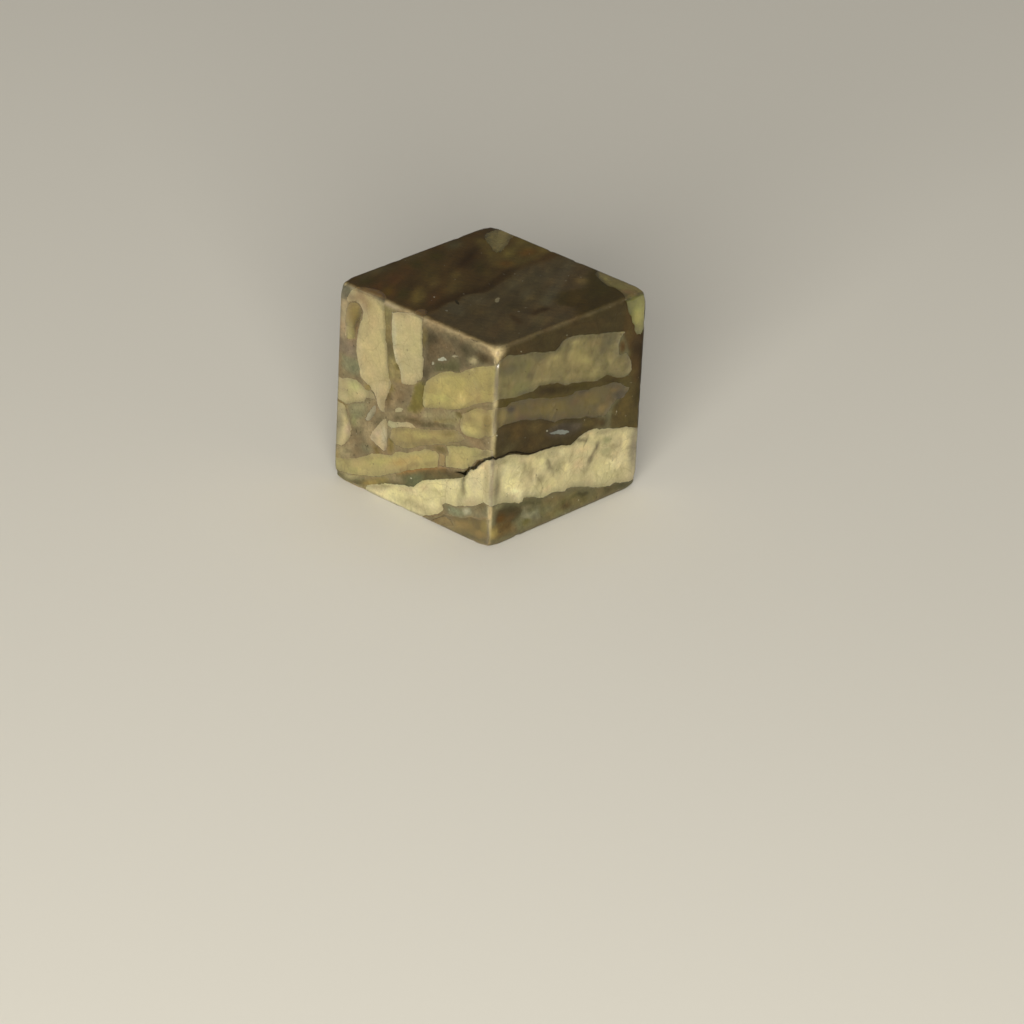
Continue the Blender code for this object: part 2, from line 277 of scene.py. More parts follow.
FRONT = [
    ("metal_f", "metal", "vein", [(-13, -1), (13, -1), (13, 26), (-13, 26)]),
    # left side, between the upright plates and the left edge
    ("f_corner_grey", "metal", "corner_grey", [(-13, 25.3), (-10.3, 25.3), (-10.3, 24.3), (-11.0, 23.5), (-11.6, 22.9), (-13, 22.9)]),
    ("f_pinkish", "metal", "edge_pink", [(-13, 18.2), (-11.3, 18.0), (-10.2, 18.2), (-9.5, 18.6), (-9.45, 17.2), (-9.3, 16.2), (-10.4, 16.1), (-11.6, 16.2), (-13, 16.5)]),
    ("f_moss", "metal", "moss_pale", [(-11.6, 16.0), (-10.4, 16.1), (-9.2, 16.1), (-8.8, 15.2), (-8.65, 14.3), (-9.6, 14.1), (-11.0, 14.2), (-11.8, 14.6)]),
    ("plate_a0", "honey", "gold", [(-11.0, 22.65), (-10.6, 22.9), (-10.1, 23.1), (-9.6, 23.1), (-9.15, 22.95), (-8.85, 22.55), (-8.75, 22.0), (-8.95, 21.4), (-9.3, 21.0), (-9.6, 20.3), (-9.75, 19.4), (-9.8, 18.7), (-10.3, 18.3), (-10.9, 18.15), (-11.25, 18.6), (-11.35, 19.8), (-11.3, 21.4), (-11.15, 22.2)]),
    ("lamella", "metal", "gap_olive", [(-5.35, 25.3), (-5.2, 23.5), (-5.0, 22.0), (-4.85, 20.1), (-4.55, 19.0), (-4.35, 17.0), (-4.0, 15.6), (-3.3, 15.3), (-2.2, 15.7), (-2.4, 16.6), (-2.6, 17.4), (-3.0, 17.9), (-3.4, 18.6), (-3.7, 19.8), (-4.0, 21.5), (-4.1, 23.9), (-3.4, 24.3), (-2.4, 24.6), (-1.4, 25.3)]),
    ("plate_a", "pale", "plate", PLATE_A_LEFT + PLATE_A_RIGHT),
    ("f_sliver", "oxide", "umber", [(-9.75, 19.1), (-9.8, 19.9), (-9.65, 20.6), (-9.4, 21.15), (-9.05, 21.4), (-8.98, 20.9), (-9.15, 20.3), (-9.35, 19.9), (-9.5, 19.3)]),
    ("f_olive_step", "metal", "olive_tan", [(-4.15, 17.9), (-3.5, 18.2), (-2.9, 17.9), (-2.55, 17.3), (-2.35, 16.7), (-2.1, 15.8), (-3.1, 15.4), (-4.05, 15.6), (-4.2, 16.4)]),
    ("f_step_dark", "oxide", "k_dark", [(-3.4, 17.7), (-3.0, 17.9), (-2.65, 17.75), (-2.5, 17.3), (-2.8, 16.95), (-3.3, 16.9), (-3.5, 17.2)]),
    # the speckled metal right of the second plate
    ("f_speckled", "metal", "slate", [(0.75, 24.1), (0.85, 22.0), (1.0, 20.2), (1.15, 18.3), (1.1, 17.3), (0.4, 16.8), (0.1, 16.3), (0.3, 15.9), (1.4, 16.4), (2.2, 18.0), (3.6, 19.2), (5.2, 19.9), (6.8, 20.3), (8.3, 21.3), (10.0, 22.2), (11.7, 22.9), (13.0, 23.4), (13.0, 23.9), (9.0, 24.1), (6.0, 24.3), (3.0, 24.1)]),
    ("plate_b", "pale", "plate_cool", PLATE_B),
    ("f_b_rim", "oxide", "gold_dark", [(0.9, 23.9), (1.3, 23.7), (1.4, 22.4), (1.15, 21.6), (0.95, 21.2), (0.9, 22.2)]),
    ("f_speckled_dark", "oxide", "moss_dark", [(3.0, 19.0), (2.9, 20.0), (3.3, 20.4), (4.3, 20.5), (4.9, 20.9), (5.4, 21.6), (6.6, 21.7), (6.9, 20.9), (6.8, 20.2), (5.3, 19.8), (4.2, 19.35)]),
    # the pale specks in this metal are painted glints
    ("f_speck_one", "metal", "speck_bright", [(3.4, 20.55), (3.9, 20.6), (4.3, 20.85), (4.65, 21.0), (4.55, 21.2), (4.2, 21.25), (3.85, 21.05), (3.5, 20.8)]),
    ("f_speck_two", "metal", "speck", [(2.48, 19.6), (2.75, 19.7), (2.85, 20.0), (2.65, 20.15), (2.5, 19.95)]),
    ("f_speck_three", "metal", "speck_dim", [(5.5, 21.8), (5.75, 21.72), (6.1, 21.85), (6.55, 22.05), (6.4, 22.17), (5.8, 22.02)]),
    ("f_speck_four", "metal", "speck", [(5.4, 22.22), (5.72, 22.36), (5.8, 22.28), (5.5, 22.14)]),
    # the node where the veins meet
    ("f_node_dark", "metal", "node_grey", [(-2.7, 13.3), (-2.3, 14.4), (-1.6, 15.4), (-0.8, 15.75), (-0.2, 15.9), (-0.5, 14.4), (-0.9, 13.4), (-1.6, 12.9)]),
    ("f_gold_flank", "oxide", "flank_olive", [(-1.3, 12.6), (-0.9, 13.3), (-0.5, 14.3), (-0.3, 15.3), (-0.05, 16.2), (0.5, 16.7), (1.0, 17.2), (1.6, 17.0), (1.4, 16.0), (1.3, 15.0), (1.5, 14.1), (1.2, 13.2), (0.4, 12.7)]),
    # f_node_pale and f_streak are painted highlights: pale sheens on the metal about the node
    ("f_node_pale", "metal", "streak", [(-2.95, 12.1), (-2.4, 12.55), (-1.7, 12.6), (-2.0, 12.2), (-2.8, 11.8)]),
    ("f_node_low", "metal", "node_line", [(-3.2, 10.95), (-2.4, 11.4), (-1.4, 11.8), (-0.4, 12.0), (0.6, 12.2), (1.8, 12.3), (2.8, 12.6), (4.0, 12.9), (5.2, 13.3), (6.4, 13.5), (6.2, 13.1), (5.0, 12.7), (4.0, 12.3), (2.8, 11.9), (1.6, 11.5), (0.6, 11.3), (-0.6, 11.3), (-1.6, 11.2), (-2.6, 10.95)]),
    ("f_streak", "metal", "streak", [(-4.1, 9.8), (-3.8, 10.4), (-3.0, 10.5), (-2.0, 10.8), (-1.0, 11.2), (-0.2, 11.3), (0.4, 11.0), (-0.6, 10.7), (-1.6, 10.4), (-2.6, 10.0), (-3.3, 9.5)]),
    # the oval crystal that runs round the near edge
    ("band_c", "honey", "straw", C_TOP + C_LOW),
    ("f_under_c", "metal", "under_c", [(3.3, 14.1), (4.8, 14.6), (6.2, 15.0), (7.2, 15.3), (7.4, 14.6), (7.0, 13.9), (6.8, 13.6), (5.4, 13.2), (4.6, 13.0), (3.0, 12.8), (1.5, 12.9), (2.1, 13.6)]),
    ("f_under_line", "metal", "gold_mid", vein([(3.2, 12.8, 0.1), (4.4, 13.2, 0.25), (5.8, 13.85, 0.3), (7.0, 14.2, 0.2)])),
    ("band_d", "honey", "straw_warm", [(7.3, 14.6), (7.6, 15.3), (8.5, 16.0), (9.6, 16.7), (10.4, 17.0), (11.2, 17.1), (12.0, 17.4), (12.5, 17.7), (13.0, 17.7), (13.0, 14.3), (12.5, 14.3), (12.0, 14.1), (11.2, 13.8), (10.4, 13.2), (9.8, 13.0), (8.4, 12.8), (7.6, 13.0), (7.2, 13.6)]),
    ("f_d_dark", "oxide", "k_dark", [(6.5, 14.65), (6.5, 15.3), (7.2, 15.35), (7.5, 15.0), (7.3, 14.6), (6.9, 14.5)]),
    ("f_c_line", "oxide", "k_dark", vein([(7.0, 15.3, 0.1), (7.6, 15.55, 0.22), (8.3, 15.95, 0.24), (9.1, 16.55, 0.22), (9.9, 17.0, 0.26), (10.8, 17.3, 0.22), (11.6, 17.6, 0.14), (13, 18.1, 0.1)])),
    ("f_grey_stripe", "metal", "vein", [(8.4, 12.3), (9.2, 12.9), (10.2, 12.95), (11.0, 13.4), (12.0, 13.9), (13.0, 14.0), (13.0, 12.6), (11.5, 12.5), (10.0, 12.1), (9.0, 11.8), (8.0, 11.65)]),
    # left column of pale pieces
    ("f_left_column", "metal", "olive_tan", [(-13, 10.9), (-11.2, 10.8), (-10.7, 10.1), (-10.8, 9.3), (-13, 9.0)]),
    ("f_left_foot", "oxide", "left_foot", [(-13, 0.9), (-10.8, 1.1), (-9.0, 1.5), (-7.9, 1.8), (-7.2, 1.4), (-6.8, 0.9), (-7.0, -0.5), (-13, -0.5)]),
    ("patch_g", "pale", "g_pale", [(-13, 13.1), (-11.5, 13.0), (-10.8, 13.3), (-10.0, 13.5), (-9.2, 13.6), (-8.5, 13.3), (-7.8, 13.0), (-7.0, 13.1), (-6.3, 12.8), (-6.2, 12.3), (-7.0, 12.1), (-7.6, 11.9), (-7.9, 11.3), (-8.5, 11.0), (-9.4, 10.75), (-10.2, 10.3), (-10.9, 10.0), (-11.4, 10.1), (-13, 10.3)]),
    ("f_g_spot", "oxide", "gold_mid", [(-8.0, 13.3), (-7.7, 13.65), (-7.2, 13.7), (-6.9, 13.4), (-7.2, 13.0), (-7.7, 12.95)]),
    ("f_left_moss", "metal", "left_moss", [(-10.3, 10.1), (-9.6, 10.55), (-8.6, 10.9), (-7.7, 11.2), (-7.3, 10.9), (-7.6, 10.1), (-7.9, 9.4), (-8.8, 8.9), (-9.8, 9.0), (-10.3, 9.5)]),
    ("f_moss_line", "metal", "moss", vein([(-9.6, 9.25, 0.08), (-8.8, 9.4, 0.26), (-8.0, 9.6, 0.08)])),
    ("lower_h", "pale", "h_pink", [(-13, 9.9), (-11.6, 9.9), (-11.0, 9.8), (-10.6, 9.2), (-10.3, 8.6), (-10.0, 7.9), (-9.75, 7.2), (-9.9, 6.3), (-10.3, 5.4), (-10.9, 4.8), (-11.4, 4.4), (-13, 4.3)]),
    ("f_sliver_pale", "pale", "sliver", [(-7.65, 9.15), (-7.35, 9.9), (-6.95, 10.5), (-6.5, 11.1), (-6.2, 11.5), (-5.95, 11.4), (-5.95, 10.8), (-6.3, 10.1), (-6.9, 9.35), (-7.3, 9.1)]),
    ("patch_j", "pale", "cream_warm", [(-6.75, 7.3), (-6.4, 8.1), (-5.85, 8.8), (-5.3, 9.5), (-4.8, 10.1), (-4.3, 10.4), (-4.05, 9.8), (-4.0, 8.6), (-4.0, 7.2), (-4.05, 6.5), (-4.5, 6.2), (-5.2, 6.45), (-5.9, 6.7), (-6.5, 6.9)]),
    ("f_gold_strip", "oxide", "gold_dark", [(-3.9, 8.3), (-3.4, 8.2), (-2.95, 7.8), (-2.8, 7.2), (-2.9, 6.7), (-3.3, 6.25), (-3.8, 6.2), (-4.0, 7.0)]),
    ("f_low_moss", "metal", "moss_pale", [(-8.0, 6.0), (-7.0, 6.2), (-6.2, 6.0), (-6.2, 5.6), (-7.0, 5.2), (-7.9, 5.3)]),
    ("f_low_olive", "metal", "gold_mid", [(-6.3, 6.3), (-5.6, 6.35), (-5.0, 6.0), (-5.1, 5.6), (-5.9, 5.4)]),
    # the honey bands that climb to the right
    ("band_k", "honey", "honey", [(-3.6, 8.2), (-3.5, 9.2), (-3.2, 9.7), (-2.4, 10.0), (-1.4, 10.4), (-0.4, 10.7), (0.6, 11.0), (1.8, 11.3), (3.0, 11.7), (4.2, 12.1), (5.2, 12.5), (6.2, 12.9), (7.2, 12.9), (8.0, 12.4), (7.6, 11.9), (6.6, 11.4), (5.7, 11.1), (5.2, 10.5), (4.4, 10.3), (3.4, 10.0), (2.4, 9.5), (1.2, 9.0), (0.2, 8.4), (-0.8, 7.9), (-1.8, 7.7), (-2.7, 7.7)]),
    ("f_k_dark", "oxide", "k_dark", [(3.0, 9.6), (3.4, 9.95), (4.2, 10.2), (5.0, 10.3), (5.45, 10.0), (5.55, 9.5), (5.2, 9.3), (4.2, 9.35), (3.2, 9.25), (2.4, 9.05), (2.2, 9.2)]),
    ("plate_f", "honey", "tan_orange", [(4.25, 9.2), (5.1, 9.25), (5.15, 8.6), (5.1, 7.8), (4.35, 7.7), (4.2, 8.3)]),
    ("plate_e", "honey", "e_pale", [(5.35, 10.5), (6.0, 10.8), (7.0, 11.1), (7.8, 11.4), (8.8, 11.6), (9.8, 11.9), (10.8, 12.0), (11.6, 12.3), (13.0, 12.45), (13.0, 11.95), (12.2, 11.65), (11.3, 11.15), (10.6, 10.65), (10.0, 10.35), (9.6, 9.8), (9.3, 9.3), (8.8, 9.0), (8.2, 8.65), (7.3, 8.35), (6.2, 8.05), (5.5, 7.85), (5.25, 8.4), (5.25, 9.2), (5.6, 9.4), (5.7, 9.8), (5.45, 10.1)]),
    ("f_e_line", "oxide", "olive_deep", vein([(5.3, 10.5, 0.1), (6.0, 10.9, 0.24), (7.0, 11.2, 0.22), (8.2, 11.6, 0.16), (9.2, 11.85, 0.06)])),
    # the long bar near the foot
    ("bar", "honey", "bar_yellow", BAR_TOP + BAR_LOW),
    ("wedge", "oxide", "moss_dark", [(-6.9, 1.0), (-7.4, 0.6), (-8.6, 0.8), (-7.6, 1.6), (-6.6, 2.1), (-5.0, 2.75), (-4.0, 3.3), (-3.4, 3.6), (-2.5, 4.05), (-1.3, 4.6), (-0.5, 5.05), (0.3, 5.4), (0.8, 5.8), (2.1, 6.3), (3.4, 6.85), (4.4, 7.3), (5.2, 7.6), (6.4, 7.95), (7.5, 8.2), (8.4, 8.5), (8.6, 8.2)] + WEDGE_LOW),
    ("f_bar_rim", "oxide", "rust", vein([(-2.4, 4.1, 0.05), (-1.3, 4.65, 0.26), (-0.5, 5.1, 0.34), (0.3, 5.45, 0.32), (0.9, 5.85, 0.24), (2.1, 6.35, 0.24), (3.4, 6.9, 0.24), (4.5, 7.35, 0.28), (5.4, 7.65, 0.1)])),
    # a painted glint
    ("f_speck_five", "metal", "speck", [(5.3, 7.68), (5.45, 7.88), (5.75, 7.84), (5.62, 7.66)]),
    # the pale fractured band that turns the near edge
    ("cream", "pale", "cream_bright", WEDGE_LOW[::-1] + [(8.5, 8.2), (9.0, 8.75), (9.5, 9.0), (10.0, 9.2), (10.35, 9.75), (10.7, 10.15), (11.1, 10.45), (11.5, 10.85), (12.0, 11.1), (12.5, 11.4), (13.0, 11.4)] + CREAM_FRONT_LOW),
    ("f_low_moss2", "metal", "moss_mid", [(5.4, 2.6), (5.5, 3.25), (6.3, 3.35), (7.2, 3.45), (8.0, 3.75), (9.0, 4.05), (10.0, 4.45), (10.9, 5.1), (11.35, 5.5), (12.0, 5.4), (13.0, 5.3), (13.0, 4.2), (11.9, 3.9), (11.2, 3.6), (10.0, 3.3), (9.2, 3.2), (8.4, 2.6), (7.2, 2.3), (6.2, 2.2)]),
    ("f_foot", "smoke", "orange", [(1.6, -0.3), (2.6, 0.5), (3.6, 0.95), (4.6, 1.45), (5.3, 2.0), (6.2, 2.15), (7.2, 2.25), (8.5, 2.5), (9.3, 3.1), (10.2, 3.2), (11.3, 3.5), (12.1, 3.8), (13.0, 4.0), (13.0, -0.3)]),
    ("f_foot_brown", "metal", "foot_brown", [(3.4, 0.3), (4.6, 1.1), (5.6, 1.7), (6.4, 1.5), (7.0, 1.0), (6.0, 0.6), (4.8, 0.25)]),
    ("fissure", "crack", "fissure_brown", vein(FISSURE_FRONT)),
]

SIDE_TOP = [(-13.0, 23.2), (-12.5, 23.2), (-11.9, 23.6), (-10.9, 23.85), (-10.0, 23.55), (-9.0, 23.3), (-8.0, 23.1), (-7.0, 23.0), (-6.0, 22.7),
            (-5.0, 22.4), (-4.2, 22.2), (-3.0, 22.0), (-2.3, 22.3), (-1.8, 22.75), (-1.2, 23.0), (0.0, 22.95),
            (1.0, 22.8), (2.0, 22.5), (3.0, 22.3), (4.0, 22.0), (5.0, 21.8), (6.0, 21.65), (7.0, 21.3), (8.0, 21.1),
            (8.9, 20.9)]
SIDE_C_LOW = [(10.0, 15.1), (9.2, 15.0), (8.2, 15.2), (7.4, 15.5), (6.8, 15.9), (6.2, 16.2), (5.4, 16.1), (4.6, 15.95),
              (3.8, 16.1), (3.0, 16.3), (2.0, 16.6), (1.0, 16.8), (0.0, 17.0), (-1.0, 17.1), (-1.6, 17.4),
              (-2.4, 17.8), (-3.4, 18.0), (-4.4, 18.2), (-5.4, 18.3), (-6.2, 18.0), (-7.2, 18.1), (-8.2, 18.1),
              (-9.2, 18.1), (-10.0, 18.3), (-11.0, 18.5), (-11.9, 18.75), (-12.5, 18.6), (-13.0, 18.6)]
SIDE_D_TOP = [(-13.0, 17.7), (-12.5, 17.7), (-11.6, 17.6), (-10.6, 17.4), (-10.0, 17.75), (-9.0, 17.6), (-8.0, 17.4), (-7.0, 17.3), (-6.0, 17.0),
              (-5.0, 16.8), (-4.0, 16.4), (-3.0, 16.1), (-2.0, 15.9), (-1.0, 15.6), (0.0, 15.5), (1.0, 15.75),
              (2.0, 15.6), (3.0, 15.3), (4.0, 15.3), (5.0, 15.1), (6.0, 15.0), (7.0, 15.0), (8.0, 14.7),
              (8.8, 14.3), (9.6, 13.7), (10.2, 13.3)]
SIDE_D_LOW = [(10.0, 13.0), (9.2, 12.3), (8.2, 12.5), (7.3, 11.95), (6.8, 11.4), (6.3, 11.05), (5.6, 11.2), (4.8, 11.2), (4.0, 11.5),
              (3.0, 11.9), (2.0, 12.0), (1.0, 12.3), (0.0, 12.6), (-1.0, 12.9), (-2.5, 12.9), (-3.0, 13.2),
              (-4.0, 13.7), (-5.0, 14.1), (-6.0, 14.3), (-7.0, 14.6), (-8.0, 14.9), (-9.0, 15.0), (-9.9, 15.1),
              (-10.9, 15.3), (-11.8, 15.1), (-12.5, 14.3), (-13.0, 14.3)]
CREAM_SIDE_TOP = [(-13.0, 11.4), (-12.5, 11.4), (-12.0, 11.15), (-11.2, 11.15), (-10.4, 11.2), (-9.6, 11.1), (-8.8, 10.9), (-7.9, 10.55),
                  (-7.0, 10.2), (-6.0, 9.97), (-5.2, 9.95), (-4.2, 9.92), (-3.2, 9.8), (-2.0, 9.68), (-1.0, 9.5),
                  (0.0, 9.2), (0.6, 9.1), (1.2, 9.3), (1.8, 9.6), (2.6, 9.85), (3.6, 9.95), (4.4, 9.9), (5.0, 9.75),
                  (6.0, 9.45), (7.0, 9.15), (8.0, 8.8), (9.0, 8.6), (10.0, 8.4), (11.0, 8.1), (11.6, 7.8), (13.0, 7.5)]
CREAM_SIDE_LOW = [(13.0, 0.75), (11.4, 0.9), (10.6, 1.1), (9.6, 1.3), (8.6, 1.6), (7.8, 1.5), (7.0, 1.65), (6.0, 1.95),
                  (5.0, 2.2), (4.0, 2.65), (3.0, 2.95), (2.0, 3.25), (1.0, 3.5), (0.4, 3.6), (0.0, 3.3), (-0.6, 3.5),
                  (-1.4, 3.7), (-2.2, 3.9), (-3.0, 3.75), (-3.7, 3.65), (-4.6, 4.0), (-5.6, 4.4), (-6.4, 4.7),
                  (-7.0, 4.75), (-7.2, 4.4), (-7.8, 4.35), (-8.6, 4.7), (-9.6, 5.0), (-10.4, 5.25), (-11.2, 5.4),
                  (-12.0, 5.4), (-12.5, 5.4), (-13.0, 5.4)]

SIDE = [
    ("metal_s", "oxide", "foot_grey", [(-13, -1), (13, -1), (13, 26), (-13, 26)]),
    ("s_top_strip", "oxide", "bark", [(-13.0, 26.0)] + SIDE_TOP + [(9.6, 21.2), (10.2, 22.6), (10.0, 26.0)]),
    ("s_brown_column", "oxide", "bark_red", [(8.4, 20.9), (9.4, 18.6), (10.2, 16.2), (10.4, 14.0), (11.6, 12.0), (13.0, 11.4), (13.0, 26.0), (9.4, 26.0)]),
    ("s_low_column", "oxide", "umber", [(7.4, 11.6), (8.6, 12.4), (9.6, 13.2), (10.6, 14.2), (11.6, 13.6), (13.0, 13.0), (13.0, 7.4), (10.0, 8.3), (7.2, 9.1)]),
    ("s_dark_band", "oxide", "band_dark", SIDE_C_LOW[:-1] + [(-13.0, 18.4)] + SIDE_D_TOP + [(10.6, 14.2), (10.4, 14.8)]),
    ("band_c", "honey", "c_side", SIDE_TOP + [(8.2, 20.3), (7.9, 19.4), (8.0, 18.6), (8.3, 18.1), (9.3, 18.0), (9.9, 17.4), (10.3, 16.4), (10.5, 15.6)] + SIDE_C_LOW),
    ("s_c_spot", "oxide", "bark_red", [(8.1, 19.7), (8.5, 20.0), (9.0, 19.3), (9.1, 18.5), (8.7, 18.15), (8.25, 18.4), (8.05, 19.0)]),
    ("band_d", "honey", "d_side", SIDE_D_TOP + SIDE_D_LOW),
    ("s_low_dark", "oxide", "bark", SIDE_D_LOW[::-1][:-7] + [(4.8, 11.1), (6.0, 10.9), (6.6, 10.4), (6.2, 9.6), (5.0, 9.95)] + CREAM_SIDE_TOP[::-1][9:]),
    ("s_glint_halo", "metal", "slate", [(-3.9, 12.15), (-2.6, 12.35), (-1.2, 12.4), (0.2, 12.0), (1.6, 11.6), (2.6, 11.2), (1.8, 10.7), (0.6, 10.6), (-0.8, 10.8), (-2.2, 11.1), (-3.2, 11.5)]),
    # s_glint is a painted highlight: a thin pale bluish streak of reflected light
    ("s_glint", "metal", "glint", [(-3.2, 11.78), (-2.6, 11.74), (-1.8, 11.68), (-1.0, 11.5), (-0.3, 11.2), (0.2, 10.95), (0.15, 10.8), (-0.6, 10.84), (-1.4, 11.05), (-2.2, 11.32), (-2.8, 11.56)]),
    ("cream", "pale", "cream", CREAM_SIDE_TOP + CREAM_SIDE_LOW),
    ("s_low_green", "oxide", "low_green", [(-6.9, 3.5), (-5.8, 3.25), (-4.8, 2.85), (-4.4, 2.2), (-4.0, 1.4), (-5.2, 1.3), (-6.2, 1.9), (-6.9, 2.3), (-7.2, 3.0)]),
    ("s_low_tan", "oxide", "low_tan", [(-4.0, 3.3), (-2.6, 3.4), (-1.2, 3.2), (0.2, 2.9), (1.8, 2.7), (3.4, 2.3), (4.8, 1.8), (6.0, 1.5), (6.8, 1.1), (5.4, 0.7), (3.4, 0.7), (1.2, 1.0), (-1.4, 0.6), (-3.4, 0.9), (-4.1, 1.8)]),
    ("s_low_olive", "oxide", "foot_olive", [(-7.6, 2.0), (-6.6, 2.1), (-5.6, 1.7), (-4.6, 1.0), (-5.0, 0.4), (-7.2, 0.5), (-7.9, 1.2)]),
    ("s_low_line", "oxide", "moss_dark", vein([(-7.7, 4.3, 0.2), (-6.4, 4.05, 0.5), (-5.2, 3.6, 0.5), (-4.0, 3.2, 0.2)])),
    ("s_low_brown", "oxide", "low_brown", [(-11.6, 5.1), (-10.2, 4.95), (-8.8, 4.5), (-7.9, 4.15), (-7.2, 4.0), (-7.1, 3.2), (-7.6, 2.4), (-9.0, 2.4), (-10.4, 2.6), (-11.5, 3.0)]),
    ("s_low_orange", "oxide", "low_orange", [(-12.4, 2.6), (-11.2, 3.0), (-9.6, 2.6), (-8.2, 2.1), (-8.3, 1.1), (-10.2, 0.9), (-12.2, 1.0)]),
    ("corner", "olive", "olive_green", [(8.7, 26.0), (8.9, 24.4), (9.1, 23.6), (9.4, 22.9), (9.85, 22.4), (9.95, 21.7), (10.4, 21.2), (10.5, 20.6), (10.9, 19.9), (11.6, 19.7), (12.1, 20.3), (13.0, 20.8), (13.0, 26.0)]),
    ("fissure", "crack", "fissure_brown", vein(FISSURE_SIDE)),
]

TOP_SEAM = [(-0.9, 13.0), (-0.6, 10.0), (-0.9, 7.0), (-1.0, 4.6), (-0.2, 3.2), (0.0, 1.6), (0.3, 0.2), (0.7, -1.0),
            (0.9, -2.0), (0.5, -3.0), (-0.2, -4.2), (-0.1, -5.2), (0.5, -6.2), (0.0, -7.2), (0.3, -8.5), (0.6, -9.6),
            (0.8, -11.0), (0.9, -13.0)]
TOP = [
    ("metal_t", "oxide", "top_brown", [(-13, -13), (13, -13), (13, 13), (-13, 13)]),
    ("t_grey", "metal", "top_grey", TOP_SEAM + [(13.0, -13.0), (13.0, 13.0)]),
    ("t_right_dark", "oxide", "top_dark", [(3.4, 13.0), (5.4, 9.6), (7.2, 7.2), (6.2, 4.6), (6.8, 2.4), (8.6, 1.4), (10.2, 2.4), (11.4, 1.0), (13.0, 0.8), (13.0, 13.0)]),
    ("t_blue_streak", "metal", "top_slate", [(0.6, 12.6), (1.8, 11.6), (3.2, 9.6), (4.4, 7.2), (5.6, 5.0), (6.9, 2.6), (8.2, 0.4), (7.2, 0.3), (5.6, 2.6), (4.0, 5.4), (2.4, 8.2), (1.2, 10.4)]),
    ("t_spot_one", "oxide", "top_deep", [(7.6, 0.1), (8.6, 0.3), (9.0, -0.6), (8.8, -2.0), (9.3, -2.7), (8.4, -2.9), (7.7, -1.8), (7.8, -0.9)]),
    ("t_spot_two", "oxide", "top_deep", [(6.2, -4.0), (7.6, -4.4), (9.0, -4.8), (9.6, -5.4), (9.2, -5.9), (8.0, -5.4), (6.6, -4.8)]),
    ("t_bluish", "metal", "top_slate", [(0.4, -7.2), (1.4, -6.9), (2.6, -7.6), (3.5, -8.6), (3.2, -9.3), (1.8, -9.2), (0.7, -8.6)]),
    ("t_seam_low", "oxide", "top_bark", [(-1.9, 5.2), (-1.0, 4.4), (-0.3, 3.2), (-0.1, 1.6), (0.2, 0.2), (0.6, -1.0), (0.8, -2.0), (0.4, -3.0), (-0.3, -4.2), (-0.2, -5.2), (0.4, -6.2), (-0.1, -7.2), (0.2, -8.5), (0.5, -9.6), (0.2, -11.2), (-1.0, -10.4), (-0.9, -8.6), (-1.6, -7.0), (-1.4, -5.0), (-1.6, -3.0), (-1.0, -1.0), (-1.3, 1.2), (-1.7, 3.0)]),
    ("t_seam_core", "oxide", "top_deep", vein([(-1.9, 4.4, 0.1), (-1.35, 3.3, 0.5), (-1.2, 2.4, 0.6), (-0.7, 1.2, 0.5), (-0.35, 0.0, 0.5), (0.0, -1.2, 0.7), (0.0, -2.4, 0.9), (-0.3, -3.6, 0.7), (-0.6, -5.0, 0.6), (-0.4, -6.2, 0.7), (-0.5, -7.6, 0.8), (-0.2, -9.0, 0.6), (0.1, -10.2, 0.2)])),
    ("t_pool", "oxide", "top_pit", vein([(-0.05, -6.3, 0.10), (0.3, -6.55, 0.34), (0.7, -6.8, 0.34), (1.2, -7.0, 0.08)])),
    ("t_gold", "oxide", "top_gold", [(-8.4, 13.0), (-2.5, 13.0), (-2.1, 11.0), (-2.0, 9.0), (-2.0, 7.0), (-2.3, 5.2), (-2.9, 4.0), (-4.0, 3.7), (-5.4, 4.5), (-6.8, 5.7), (-8.4, 6.4), (-9.8, 7.2), (-10.9, 8.4), (-9.6, 8.6), (-7.6, 7.8), (-6.8, 9.0), (-7.4, 11.0)]),
    ("t_olive", "olive", "top_leaf", [(-11.0, 11.6), (-10.8, 13.0), (-8.1, 13.0), (-8.1, 11.9), (-7.8, 11.0), (-7.3, 10.0), (-6.8, 9.1), (-6.3, 8.2), (-6.0, 7.4), (-6.2, 6.9), (-6.9, 7.0), (-7.8, 7.6), (-8.8, 8.2), (-9.7, 8.7), (-10.5, 9.3), (-10.9, 10.2)]),
    ("plate_a", "pale", "top_gold", [(-10.4, -13.0), (-10.38, -12.5), (-9.5, -11.9), (-8.6, -11.3), (-7.6, -11.0), (-6.6, -11.2), (-5.7, -11.8), (-5.3, -12.5), (-5.3, -13.0)]),
    ("plate_b", "pale", "top_gold", [(-0.75, -13.0), (-0.7, -12.5), (-1.0, -11.6), (-0.6, -10.9), (0.1, -11.0), (0.6, -11.7), (0.72, -12.5), (0.7, -13.0)]),
    ("t_speck_one", "metal", "top_speck", [(2.72, -2.2), (3.0, -2.2), (3.3, -2.65), (3.55, -3.1), (3.48, -3.42), (3.2, -3.3), (2.92, -2.85), (2.72, -2.5)]),
    ("t_speck_two", "metal", "top_pale", [(-9.8, 5.15), (-9.5, 5.1), (-9.3, 4.7), (-9.6, 4.75)]),
    ("corner", "olive", "top_strip", [(4.6, 13.0), (5.0, 12.0), (5.4, 11.2), (6.2, 10.7), (7.0, 10.3), (8.0, 9.95), (8.8, 9.75), (9.6, 9.95), (10.4, 9.8), (11.2, 9.5), (12.0, 9.0), (13.0, 8.5), (13.0, 13.0)]),
]

